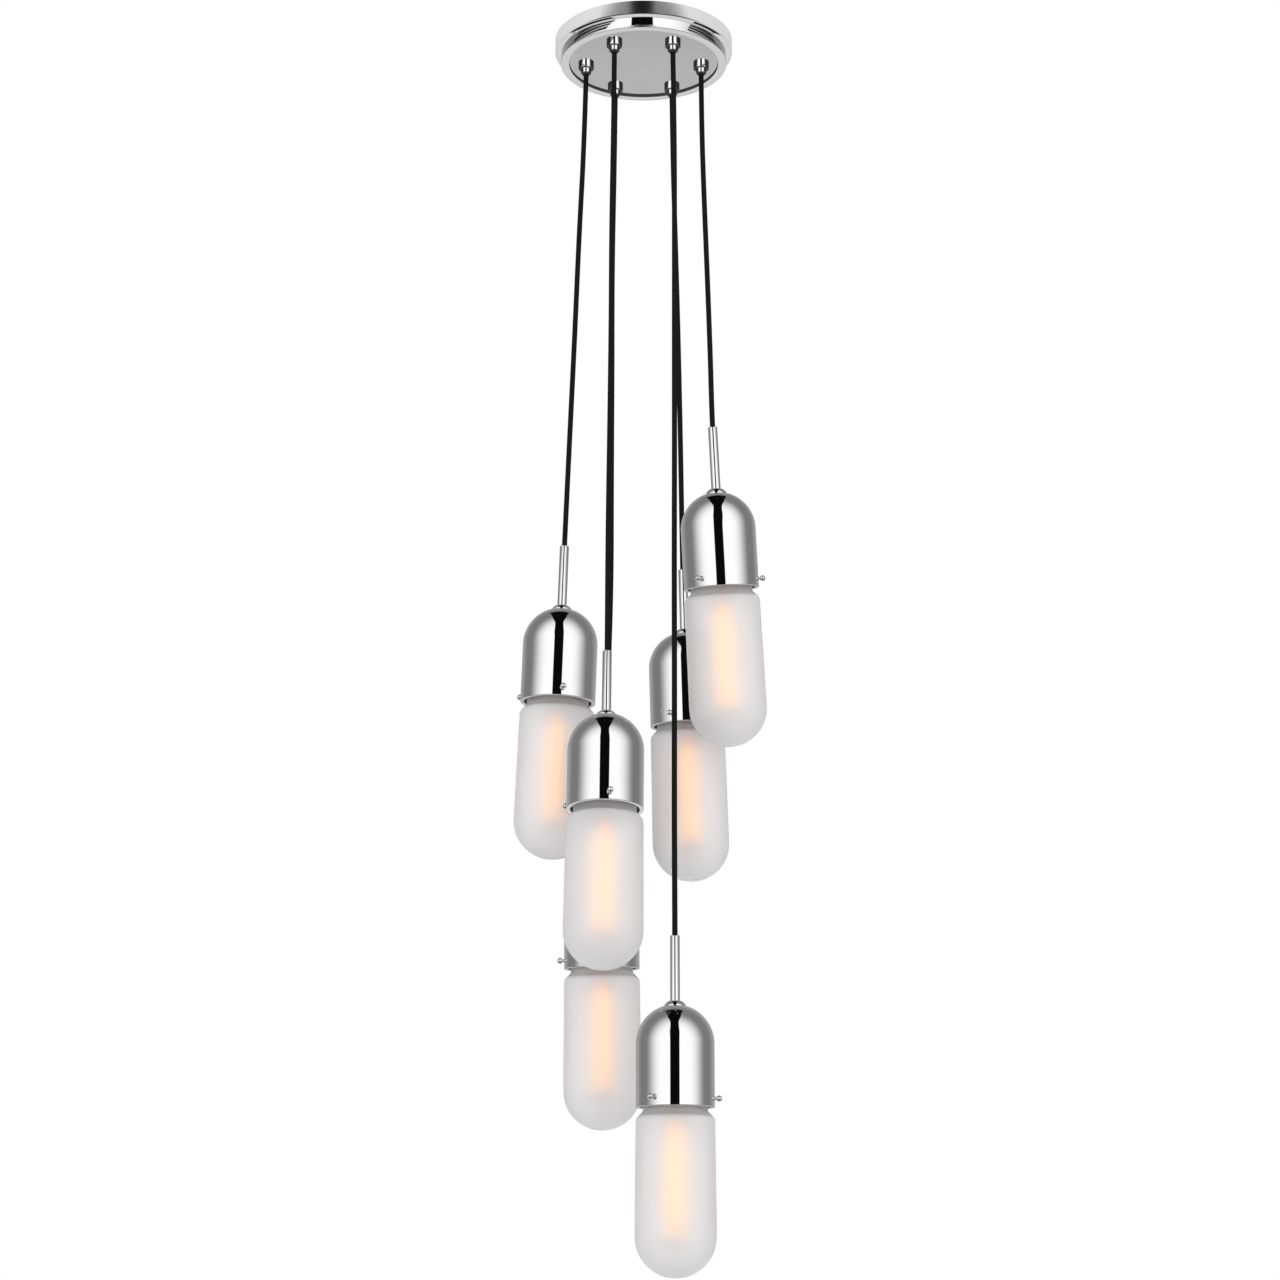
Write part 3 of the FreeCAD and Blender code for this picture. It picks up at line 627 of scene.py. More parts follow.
def finished(name: str, work: bmesh.types.BMesh) -> Mesh:
    """Give the mesh of this work, smoothly shaded, and clear the work away.

    Args:
        name: The mesh's name.
        work: The mesh under construction.

    Returns:
        The mesh.
    """
    mesh = bpy.data.meshes.new(name)
    work.to_mesh(mesh)
    work.free()
    return smooth(mesh)


def smooth(mesh: Mesh) -> Mesh:
    """Shade a mesh smoothly, but for its sharp edges, and give it back.

    Args:
        mesh: The mesh.

    Returns:
        The same mesh.
    """
    mesh.shade_smooth()
    mesh.set_sharp_from_angle(angle=SHARP_ABOVE)
    return mesh


def turned(name: str, line: Outline, closed: bool = True, segments: int = 96) -> Mesh:
    """Turn an outline round the z axis.

    Args:
        name: The mesh's name.
        line: The outline.
        closed: Whether the last point joins the first.
        segments: How many parts a full turn has.

    Returns:
        The mesh, in metres.
    """
    work = bmesh.new()
    angles = [math.tau * step / segments for step in range(segments)]
    rings = []
    for radius, height in line.points:
        around = angles if radius > 1e-6 else [0.0]
        rings.append([work.verts.new(polar(radius * MM, angle, height * MM)) for angle in around])
    pairs = list(zip(rings, rings[1:])) + ([(rings[-1], rings[0])] if closed else [])
    for lower, upper in pairs:
        if len(lower) == len(upper) == 1:
            continue
        for step in range(segments):
            after = (step + 1) % segments
            corners = [lower[step % len(lower)], lower[after % len(lower)]]
            corners += [upper[after % len(upper)], upper[step % len(upper)]]
            work.faces.new(list(dict.fromkeys(corners)))
    bmesh.ops.recalc_face_normals(work, faces=work.faces)
    return finished(name, work)


def joined(name: str, parts: Iterable[tuple[Mesh, Matrix]]) -> Mesh:
    """Join meshes, each moved to its place.

    Args:
        name: The new mesh's name.
        parts: Each mesh and its place.

    Returns:
        The joined mesh.
    """
    work = bmesh.new()
    for mesh, place in parts:
        known = len(work.verts)
        work.from_mesh(mesh)
        work.verts.ensure_lookup_table()
        bmesh.ops.transform(work, matrix=place, verts=work.verts[known:])
    return finished(name, work)


def copies(name: str, mesh: Mesh, places: list[Matrix]) -> Mesh:
    """Join copies of one mesh at several places."""
    return joined(name, ((mesh, place) for place in places))


def round_places(count: int, first: float = 0.0, reach: float = 0.0) -> list[Matrix]:
    """Places round the z axis.

    Args:
        count: How many.
        first: The bearing of the first, in degrees.
        reach: Distance from the axis in millimetres.

    Returns:
        A matrix for each, with its x axis pointing outwards.
    """
    out = Matrix.Translation((reach * MM, 0.0, 0.0))
    bearings = [math.radians(first + 360.0 * step / count) for step in range(count)]
    return [Matrix.Rotation(bearing, 4, "Z") @ out for bearing in bearings]


def add(name: str, data: bpy.types.ID) -> bpy.types.Object:
    """Make an object from its data and put it into the scene.

    Args:
        name: The object's name.
        data: Its mesh, curve, light or camera.

    Returns:
        The object.
    """
    made = bpy.data.objects.new(name, data)
    bpy.context.scene.collection.objects.link(made)
    return made


def notched(name: str, mesh: Mesh, low: Vector, high: Vector) -> Mesh:
    """Cut a plain block out of a mesh.

    Args:
        name: The result's name.
        mesh: The mesh that is cut.
        low: The block's lowest corner in millimetres.
        high: Its highest corner in millimetres.

    Returns:
        The cut mesh, in metres.
    """
    work = bmesh.new()
    bmesh.ops.create_cube(work, size=1.0)
    span = Matrix.Diagonal((*((high - low) * MM), 1.0))
    bmesh.ops.transform(work, matrix=Matrix.Translation((low + high) / 2 * MM) @ span, verts=work.verts)
    blank, cutter = add(name + "_blank", mesh), add(name + "_cutter", finished(name + "_tool", work))
    change = blank.modifiers.new("cut", "BOOLEAN")
    change.operation = "DIFFERENCE"
    change.object = cutter
    graph = bpy.context.evaluated_depsgraph_get()
    result = bpy.data.meshes.new_from_object(blank.evaluated_get(graph))
    result.name = name
    for item in (blank, cutter):
        bpy.data.objects.remove(item)
    return smooth(result)


def finish_faces(
    mesh: Mesh, most: Finish, *others: tuple[Finish, Callable[[float, float], bool]]
) -> None:
    """Dress a turned mesh in several finishes.

    Args:
        mesh: The mesh.
        most: The finish of most of it.
        *others: Each other finish, with whether a face at a distance from the axis and a height, in
            metres, gets it.
    """
    mesh.materials.append(most.material())
    for index, (finish, chosen) in enumerate(others, 1):
        mesh.materials.append(finish.material())
        for face in mesh.polygons:
            if chosen(math.hypot(face.center.x, face.center.y), face.center.z):
                face.material_index = index


@dataclass
class Workshop:
    """Puts finished pieces into the scene and keeps count of them."""

    made: int = 0

    def place(
        self,
        name: str,
        data: Mesh | bpy.types.Curve,
        finish: Finish | Look | None,
        body: str,
        slot: str,
        node: str | None = None,
        pose: Matrix | None = None,
        mirrored: bool = False,
    ) -> bpy.types.Object:
        """Add a piece, dress it and join it to its body.

        Args:
            name: The piece's name.
            data: Its mesh or curve.
            finish: Its finish, or none if it is dressed already.
            body: The body that it rides on.
            slot: The record's material slot of its finish; not used.
            node: The solid that it stands for, if any.
            pose: Where it goes; the object's own frame, if none.
            mirrored: Whether polished metal mirrors it.

        Returns:
            The piece.
        """
        piece = add(name, data)
        piece.matrix_world = pose or Matrix.Identity(4)
        piece.visible_glossy = mirrored
        if finish:
            data.materials.append(finish.material())
        bpy.context.view_layer.update()
        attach(piece, body)
        if node:
            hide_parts(node)
        self.made += 1
        LOG.info("piece %d: %s rides on %s", self.made, name, body)
        return piece

    def redress(self, node: str, finish: Finish) -> None:
        """Give a solid that stays in view a better material.

        Args:
            node: The solid's name.
            finish: Its finish.
        """
        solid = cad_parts[node]
        solid.data.materials.clear()
        solid.data.materials.append(finish.material())
        smooth(solid.data)
        solid.visible_glossy = False
        LOG.info("solid %s dressed in %s", node, finish.value.name)


# The sub-assemblies


@dataclass
class Canopy:
    """The stepped canopy with its bracket, screws and cord grips. Sizes are in millimetres."""

    shop: Workshop
    radius: float = 100.0
    ring_height: float = 16.0
    ring_edge: float = 1.5
    neck_radius: float = 92.5
    neck_bottom: float = 26.2
    neck_cove: float = 0.5
    sheet: float = 1.2
    plate_radius: float = 93.7
    plate_bottom: float = 29.0
    plate_edge: float = 0.8
    lip_width: float = 9.7
    face: float = -25.0
    back: float = -23.5
    upstand_outer: float = 91.1
    upstand_inner: float = 89.5
    upstand_top: float = -18.0
    grip_radius: float = 8.65
    grip_step: float = -34.5
    grip_edge: float = 0.6
    nose_radius: float = 5.75
    nose_bottom: float = -39.8
    nose_cove: float = 0.3
    shank_radius: float = 5.0
    shank_top: float = -13.0
    bore_radius: float = 3.3
    seat_radius: float = 3.95
    seat_top: float = -36.8
    bushing_bore: float = 3.25
    bushing_lip: float = 0.325
    tail_top: float = -12.1
    wire_radius: float = 0.85
    wire_top: float = -9.05
    wire_circle: float = 1.35
    screw_sink: float = 0.3
    body: str = "canopy"

    def pan(self) -> Mesh:
        """The brushed ring and the polished neck under it, with softly rolled edges.

        Returns:
            The mesh, in metres.
        """
        inside = self.radius - self.sheet
        neck_inside = self.neck_radius - self.sheet
        roof = self.sheet - self.ring_height
        foot = -self.neck_bottom
        line = Outline(self.radius - BREAK, 0.0).to((inside, 0.0), (inside, roof), (neck_inside, roof))
        line.to((neck_inside, foot), (self.neck_radius - FINE_BREAK, foot))
        line.to((self.neck_radius, foot + FINE_BREAK))
        line.roll((self.neck_radius, -self.ring_height), self.neck_cove, 180.0, turn=-90.0)
        line.roll((self.radius, -self.ring_height), self.ring_edge, -90.0, 8).to((self.radius, -BREAK))
        return turned("canopy_ring_and_neck", line, segments=160)

    def plate(self) -> Mesh:
        """The turned plate: its face, rolled lip and upstand.

        Returns:
            The mesh, in metres.
        """
        edge = self.plate_edge
        bottom = -self.plate_bottom
        lip = self.plate_radius - self.lip_width
        line = Outline(0.0, self.face).roll((lip, self.face), edge, 90.0, turn=-90.0)
        line.roll((lip, bottom), edge, 180.0).roll((self.plate_radius, bottom), edge, -90.0)
        line.to((self.plate_radius, -self.neck_bottom), (self.upstand_outer, -self.neck_bottom))
        line.to((self.upstand_outer, self.upstand_top), (self.upstand_inner, self.upstand_top))
        line.to((self.upstand_inner, self.back), (0.0, self.back))
        return turned("canopy_plate_turned", line, closed=False, segments=160)

    def is_ring(self, far: float, _height: float) -> bool:
        """Whether a face of the pan belongs to the brushed ring; see finish_faces."""
        return far > (self.radius - self.ring_edge) * MM

    def is_lip(self, far: float, height: float) -> bool:
        """Whether a face of the plate belongs to its bright lip; see finish_faces."""
        inner = self.plate_radius - self.lip_width - 1.5 * self.plate_edge
        return far > inner * MM and height < self.face * MM

    def is_shaded_recess_wall(self, far: float, height: float) -> bool:
        """Whether a face of the plate belongs to the wall of its recess, which gets painted shadow.

        Args:
            far: Its distance from the axis, in metres.
            height: Its height, in metres.

        Returns:
            True where it does.
        """
        lip = self.plate_radius - self.lip_width
        edge = self.plate_edge
        beside = lip - edge < far / MM < lip + 0.35 * edge
        return beside and 0.4 * edge - self.plate_bottom < height / MM < self.face - 0.2 * edge

    def grip(self) -> Mesh:
        """One stepped cord grip with a rolled shoulder and a threaded shank.

        Returns:
            The mesh, in metres.
        """
        shank = self.shank_radius
        line = Outline(self.bore_radius, self.shank_top).to((self.bore_radius, self.seat_top))
        line.to((self.seat_radius, self.seat_top), (self.seat_radius, self.nose_bottom))
        line.roll((self.nose_radius, self.nose_bottom), self.grip_edge, -90.0)
        line.roll((self.nose_radius, self.grip_step), self.nose_cove, 180.0, 3, -90.0)
        line.roll((self.grip_radius, self.grip_step), self.grip_edge, -90.0, 6)
        wide = self.grip_radius
        line.to((wide, self.face - BREAK), (wide - BREAK, self.face), (shank, self.face))
        turn = (shank, 0.15), (shank - THREAD_DEPTH, 0.5), (shank, 0.85)
        line.thread(turn, self.face, self.shank_top - 1.2, THREAD_PITCH).to((shank - 0.4, self.shank_top))
        return turned("cord_grip_turned", line, segments=48)

    def bushing(self) -> Mesh:
        """One soft bushing with rounded lips.

        Returns:
            The mesh, in metres.
        """
        lip = self.bushing_lip
        line = Outline(self.bushing_bore, self.seat_top)
        line.arc((self.bushing_bore + lip, GRIP_MOUTH + lip), lip, 180.0, 360.0, 8)
        line.to((self.bushing_bore + 2 * lip, self.seat_top))
        return turned("grip_bushing_turned", line, segments=40)

    def tail(self) -> Mesh:
        """One cord end above its grip: the sleeve, and three wires that leave it.

        Returns:
            The mesh, in metres.
        """
        low = GRIP_MOUTH + CORD_RADIUS + 0.35
        line = Outline(0.0, low).to((CORD_RADIUS - 0.3, low), (CORD_RADIUS, low + 0.3))
        line.roll((CORD_RADIUS, self.tail_top), 0.5, 0.0, 4).to((0.0, self.tail_top))
        sleeve = turned("cord_tail_sleeve", line, closed=False, segments=32)
        foot = self.tail_top - 0.3
        wire = self.wire_radius
        line = Outline(0.0, foot).to((wire, foot), (wire, -9.6), (wire - 0.3, -9.2), (0.0, self.wire_top))
        strand = turned("cord_tail_wire", line, closed=False, segments=16)
        strands = [(strand, place) for place in round_places(3, 30.0, self.wire_circle)]
        return joined("cord_tail_whole", [(sleeve, Matrix.Identity(4)), *strands])

    def screw(self, outer: float, length: float, bearing: float, height: float, count: int) -> Mesh:
        """Headless screws that lie flush round the canopy, each with a hexagon socket.

        Args:
            outer: Distance of a screw's outer end from the axis.
            length: A screw's length.
            bearing: The bearing of the first in degrees.
            height: Their height.
            count: How many.

        Returns:
            The screws in one mesh.
        """
        line = Outline(0.0, 0.0).to((SCREW_ROOT, 0.0), (SCREW_RADIUS, 0.3), (SCREW_RADIUS, length - BREAK))
        line.to((SCREW_RADIUS - BREAK, length), (0.85, length), (0.75, length - 1.2), (0.0, length - 1.3))
        one = turned("grub_screw_turned", line, closed=False, segments=24)
        lay_down = Matrix.Translation(Vector((outer - length, 0.0, height)) * MM)
        lay_down = lay_down @ Matrix.Rotation(math.radians(90.0), 4, "Y")
        return copies("grub_screws", one, [place @ lay_down for place in round_places(count, bearing)])

    def build(self) -> None:
        """Build and dress every piece of the canopy."""
        pan = self.pan()
        finish_faces(pan, Finish.POLISHED, (Finish.RING, self.is_ring))
        plate = self.plate()
        # The recess wall gets painted shadow.
        walls = (Finish.LIP, self.is_lip), (Finish.INSIDE, self.is_shaded_recess_wall)
        finish_faces(plate, Finish.SATIN, *walls)
        spots = round_places(6, 0.0, GRIP_CIRCLE)
        grips = copies("cord_grips_all", self.grip(), spots)
        bushings = copies("grip_bushings_all", self.bushing(), spots)
        tails = copies("cord_tails_all", self.tail(), spots)
        ring_screws = self.screw(self.radius - self.screw_sink, 6.5, 0.0, -8.0, 2)
        neck_screws = self.screw(self.neck_radius - self.screw_sink, 3.2, 90.0, -21.4, 3)
        for name, mesh, finish, slot, node in (
            ("canopy_ring", pan, None, "polished_nickel", "canopy_pan"),
            ("canopy_face_plate", plate, None, "satin_nickel", "canopy_plate"),
            ("cord_grip_set", grips, Finish.GRIP, "polished_nickel", "cord_grips"),
            ("bushing_set", bushings, Finish.RUBBER, "black_rubber", "grip_bushings"),
            ("cord_tail_set", tails, Finish.TAIL, "black_textile", "cord_tails"),
            ("ring_grub_screws", ring_screws, Finish.SCREW, "steel_screw", "canopy_screws"),
            ("neck_grub_screws", neck_screws, Finish.SCREW, "steel_screw", "plate_screws"),
        ):
            self.shop.place(name, mesh, finish, self.body, slot, node, mirrored=finish is Finish.SCREW)
        self.shop.redress("ceiling_bracket", Finish.ZINC)
        self.shop.redress("grip_nuts", Finish.ZINC)
        self.shop.redress("ground_screw", Finish.EARTH_SCREW)


@dataclass(frozen=True)
class Hanging:
    """Where one light hangs. Places are in metres and angles in degrees."""

    number: int
    grip_bearing: float
    stem_top: Place
    lean_side: float
    lean_front: float
    turn: float
    route: tuple[Place, ...]

    def axis(self) -> Vector:
        """The direction of the stem, upwards."""
        side = math.tan(math.radians(self.lean_side))
        return Vector((side, math.tan(math.radians(self.lean_front)), 1.0)).normalized()

    def pose(self, stem_height: float) -> Matrix:
        """The light's own frame.

        Args:
            stem_height: Height of the stem's top over the dome's rim, in millimetres.

        Returns:
            The frame in the scene, in metres.
        """
        axis = self.axis()
        rim = Vector(self.stem_top) - axis * stem_height * MM
        lean = Vector((0.0, 0.0, 1.0)).rotation_difference(axis).to_matrix().to_4x4()
        return Matrix.Translation(rim) @ lean @ Matrix.Rotation(math.radians(self.turn), 4, "Z")


@dataclass
class LampCord:
    """One textile cord from its grip to its stem."""

    shop: Workshop
    hanging: Hanging
    straight: float = 14.0
    inside: float = 10.0

    def points(self) -> list[Vector]:
        """The cord's route in metres: its bushing, the chosen points, and straight into the stem.

        Returns:
            The points.
        """
        grip = Vector(polar(GRIP_CIRCLE, math.radians(self.hanging.grip_bearing), GRIP_MOUTH)) * MM
        top = Vector(self.hanging.stem_top)
        axis = self.hanging.axis() * MM
        return [grip, *map(Vector, self.hanging.route), top + axis * self.straight, top - axis * self.inside]

    def build(self) -> None:
        number = self.hanging.number
        points = self.points()
        line = bpy.data.curves.new(f"cord_{number}_line", "CURVE")
        line.dimensions = "3D"
        line.bevel_depth = CORD_RADIUS * MM
        line.bevel_resolution = 6
        line.resolution_u = 24
        line.use_fill_caps = True
        spline = line.splines.new("NURBS")
        spline.points.add(len(points) - 1)
        for place, point in zip(spline.points, points):
            place.co = (*point, 1.0)
        spline.order_u = 3
        spline.use_endpoint_u = True
        length = sum((after - before).length for before, after in zip(points, points[1:]))
        finish = WovenTextile(length, f"woven_black_{number}")
        name, body = f"textile_cord_{number}", f"cord_{number}_hanging"
        piece = self.shop.place(name, line, finish, body, "black_textile", f"cord_{number}")
        tuple(points[0])


@dataclass
class Dome:
    """The polished bell with its stem, collar and thumb screws. Sizes are in millimetres."""

    radius: float = 40.0
    wall_height: float = 64.0
    sheet: float = 0.8
    flat_radius: float = 12.0
    rim_radius: float = 36.1
    rim_thickness: float = 1.0
    edge: float = 0.7
    stem_radius: float = 5.0
    stem_bore: float = 3.2
    stem_top: float = 174.507
    stem_bottom: float = 88.957
    bore: float = 5.1
    collar_radius: float = 11.0
    collar_height: float = 5.3
    collar_edge: float = 1.4
    crown_top: float = 6.4
    crown_radius: float = 9.5
    screw_height: float = 8.7
    screw_reach: float = 4.35
    screw_tip: float = 33.2
    screw_neck: float = 1.25
    screw_flange: float = 2.1
    flange_height: float = 0.7
    ball: float = 3.2
    slot_width: float = 0.9
    slot_depth: float = 1.6

    def top(self) -> float:
        """The height of the dome's flat top."""
        return self.wall_height + math.sqrt(self.radius**2 - self.flat_radius**2)

    def bell(self) -> Mesh:
        """The spun bell with its turned-in rim.

        Returns:
            The mesh, in metres.
        """
        centre = (0.0, self.wall_height)
        inner = self.radius - self.sheet
        flat = math.degrees(math.acos(self.flat_radius / self.radius))
        under = self.top() - self.sheet
        inner_flat = math.degrees(math.asin((under - self.wall_height) / inner))
        line = Outline(self.bore, under).arc(centre, inner, inner_flat, 0.0, 40)
        line.to((inner, self.rim_thickness), (self.rim_radius + 0.3, self.rim_thickness))
        line.arc((self.rim_radius + 0.5, 0.5), 0.5, 150.0, 270.0, 6)
        line.roll((self.radius, 0.0), self.edge, -90.0, 8)
        line.to((self.radius, self.wall_height / 3), (self.radius, self.wall_height * 2 / 3))
        line.arc(centre, self.radius, 0.0, flat, 48).to((self.bore, self.top()))
        return turned("bell_spun", line, segments=144)

    def is_inside(self, far: float, height: float) -> bool:
        """Whether a face of the bell is on its inside, which is dull and near-black with painted shade.

        Args:
            far: Its distance from the axis, in metres.
            height: Its height, in metres.

        Returns:
            True on the inside.
        """
        over = max(height - self.wall_height * MM, 0.0)
        middle = (self.radius - self.sheet / 2) * MM
        under_flat = far < self.flat_radius * MM and height < (self.top() - self.sheet / 2) * MM
        in_wall = height > self.rim_thickness * MM / 2 and math.hypot(far, over) < middle
        return under_flat or (in_wall and far > self.flat_radius * MM)

    def collar(self) -> Mesh:
        """The crowned collar, with a fine step at its foot.

        Returns:
            The mesh, in metres.
        """
        seat = self.top()
        wide = self.collar_radius
        crown = seat + self.collar_height
        step = seat + self.collar_edge
        line = Outline(self.bore, seat).to((wide - FINE_BREAK, seat), (wide, seat + FINE_BREAK))
        line.to((wide, step - 0.3), (wide - BREAK, step))
        start, end = Vector((wide - BREAK, step)), Vector((self.crown_top, crown))
        chord = end - start
        rise = math.sqrt(self.crown_radius**2 - (chord.length / 2) ** 2)
        middle = start + chord / 2 + Vector((-chord.y, chord.x)).normalized() * rise
        angles = [math.degrees(math.atan2(point.y - middle.y, point.x - middle.x)) for point in (start, end)]
        line.arc(tuple(middle), self.crown_radius, *angles, 14).to((5.7, crown), (self.bore, crown - 0.4))
        return turned("collar_turned", line, segments=72)

    def stem(self) -> Mesh:
        """The slim tube with a chamfered mouth and a thread at its hidden end.

        Returns:
            The mesh, in metres.
        """
        radius = self.stem_radius
        top = self.stem_top
        turn = (radius, 0.5), (radius - THREAD_DEPTH, 1.0)
        line = Outline(self.stem_bore, self.stem_bottom).to((radius - 0.5, self.stem_bottom))
        line.thread(turn, self.stem_bottom, self.top() - 2.0, THREAD_PITCH)
        line.to((radius, line.points[-1][1] + 0.5), (radius, top - 0.8), (radius - 0.15, top - 0.55))
        line.to((radius - 0.8, top), (self.stem_bore + FINE_BREAK, top), (self.stem_bore, top - FINE_BREAK))
        return turned("stem_turned", line, segments=56)

    def thumb_screw(self) -> Mesh:
        """One ball-headed screw along the x axis, with a slot across its ball.

        Returns:
            The mesh, in metres.
        """
        wall = self.radius
        tip = self.screw_tip
        centre = wall + self.screw_reach
        flange = wall + self.flange_height
        neck_angle = math.degrees(math.asin(self.screw_neck / self.ball))
        turn = (SCREW_RADIUS, 0.1), (SCREW_ROOT, 0.3), (SCREW_RADIUS, 0.5)
        line = Outline(0.0, tip).to((SCREW_ROOT, tip), (SCREW_RADIUS, tip + 0.3))
        line.thread(turn, tip + 0.4, wall - 1.6, 0.5).to((SCREW_RADIUS, wall - 0.8), (SCREW_RADIUS, wall))
        line.to((self.screw_flange - FINE_BREAK, wall), (self.screw_flange, wall + FINE_BREAK))
        line.roll((self.screw_flange, flange), 0.35, 0.0, 4)
        line.roll((self.screw_neck, flange), 0.55, -90.0, 4, -90.0)
        line.arc((0.0, centre), self.ball, neck_angle - 90.0, 90.0, 20)
        whole = turned("thumb_screw_turned", line, closed=False, segments=36)
        half = self.slot_width / 2
        low = Vector((-half, -self.ball - 1.0, centre + self.ball - self.slot_depth))
        high = Vector((half, self.ball + 1.0, centre + self.ball + 1.0))
        slotted = notched("thumb_screw_slotted", whole, low, high)
        slotted.transform(Matrix.Rotation(math.radians(90.0), 4, "Y"))
        return slotted


@dataclass
class Shade:
    """The frosted capsule. Sizes are in millimetres."""

    top_radius: float = 40.2
    radius: float = 41.3
    length: float = 168.8
    glass: float = 2.2
    neck: float = 33.0
    neck_top: float = 11.2
    bead: float = 34.6
    bead_height: float = 2.8
    cove: float = 2.5
    cone_lean: float = 45.0
    shoulder: float = 7.0
    shoulder_drop: float = 14.1
    cone_top: float = -8.5

    def capsule(self) -> Mesh:
        """The glass: neck with its bead, coned shoulder, slightly widening wall and round end.

        Returns:
            The mesh, in metres.
        """
        heart = (self.top_radius - self.shoulder, -self.shoulder_drop)
        meet = self.cone_lean
        across = math.cos(math.radians(meet))
        along = math.sin(math.radians(meet))
        cove_x = self.neck + self.cove
        cone_width = heart[0] + self.shoulder * across - cove_x + self.cove * across
        cove = (cove_x, heart[1] + (self.shoulder + self.cove) * along + cone_width * across / along)
        end = (0.0, self.radius - self.length)
        bead_top = self.neck_top + self.bead_height
        line = Outline(0.0, -self.length).arc(end, self.radius, -90.0, 0.0, 40)
        line.to(((self.radius + self.top_radius) / 2, (end[1] + heart[1]) / 2))
        line.arc(heart, self.shoulder, 0.0, meet, 12)
        line.arc(cove, self.cove, meet + 180.0, 180.0, 8).to((self.neck, self.neck_top))
        line.roll((self.bead, self.neck_top), 0.6, -90.0).roll((self.bead, bead_top), 1.0, 0.0, 6)
        line.roll((self.neck - self.glass, bead_top), 0.8, 90.0)
        line.arc(cove, self.cove + self.glass, 180.0, meet + 180.0, 8)
        line.arc(heart, self.shoulder - self.glass, meet, 0.0, 10)
        line.arc(end, self.radius - self.glass, 0.0, -90.0, 36)
        return turned("capsule_blown", line, closed=False, segments=112)

    def is_neck(self, _far: float, height: float) -> bool:
        """Whether a face of the glass is on its neck, which stays clearer and gets a grey milk of painted
        shade; see finish_faces.
        """
        return height > self.cone_top * MM


@dataclass
class FilamentLamp:
    """The tubular lamp: its envelope, cap, filaments and mount. Sizes are in millimetres."""

    radius: float = 15.0
    tip: float = -143.0
    shoulder: float = 37.0
    mouth: float = 46.0
    cap_radius: float = 13.1
    cap_top: float = 68.0
    cap_pitch: float = 3.4
    contact_top: float = 72.3
    loops: int = 6
    strand_radius: float = 1.1
    strand: tuple[Point, ...] = ((2.0, -10.0), (4.6, -18.0), (4.6, -70.0), (4.6, -118.0), (2.2, -124.0))

    def envelope(self) -> Mesh:
        """The clear tube with its rounded shoulder and tip, as one skin.

        Returns:
            The mesh, in metres.
        """
        line = Outline(0.0, self.tip).roll((self.radius, self.tip), self.radius, -90.0, 16)
        line.to((self.radius, self.shoulder), (14.7, 41.0), (14.0, 44.0))
        line.to((self.cap_radius - FINE_BREAK, self.mouth))
        return turned("lamp_envelope_blown", line, closed=False, segments=48)

    def cap(self) -> Mesh:
        """The screw cap: rolled thread, insulator cone and contact.

        Returns:
            The mesh, in metres.
        """
        wide = self.cap_radius
        pitch = self.cap_pitch
        turn = (wide, 0.0), (wide - 0.9, pitch / 2), (wide, pitch)
        line = Outline(wide - 0.6, self.mouth - 1.0).to((wide, self.mouth))
        line.thread(turn, self.mouth + 1.5, self.cap_top - 3.6, pitch).to((wide - 1.5, self.cap_top))
        line.to((6.2, self.contact_top - 1.4), (5.0, self.contact_top - 0.3), (0.0, self.contact_top))
        return turned("lamp_cap_rolled", line, closed=False, segments=48)

    def filaments(self) -> bpy.types.Curve:
        """Long filament strands that run down round a glass mount.

        Returns:
            The strands as one curve.
        """
        line = bpy.data.curves.new("lamp_filament_line", "CURVE")
        line.dimensions = "3D"
        line.bevel_depth = self.strand_radius * MM
        line.bevel_resolution = 2
        line.resolution_u = 2
        for step in range(self.loops):
            spline = line.splines.new("POLY")
            spline.points.add(len(self.strand) - 1)
            angle = math.tau * step / self.loops
            for place, (reach, height) in zip(spline.points, self.strand):
                place.co = (*polar(reach * MM, angle, height * MM), 1.0)
        return line

    def mount(self) -> Mesh:
        """The glass rod and flare that carry the filaments.

        Returns:
            The mesh, in metres.
        """
        line = Outline(0.0, -127.0).to((0.9, -126.0), (1.1, 4.0), (2.6, 18.0), (4.2, 32.0))
        line.to((9.0, 44.0), (0.0, 45.0))
        return turned("lamp_mount_pressed", line, closed=False, segments=24)


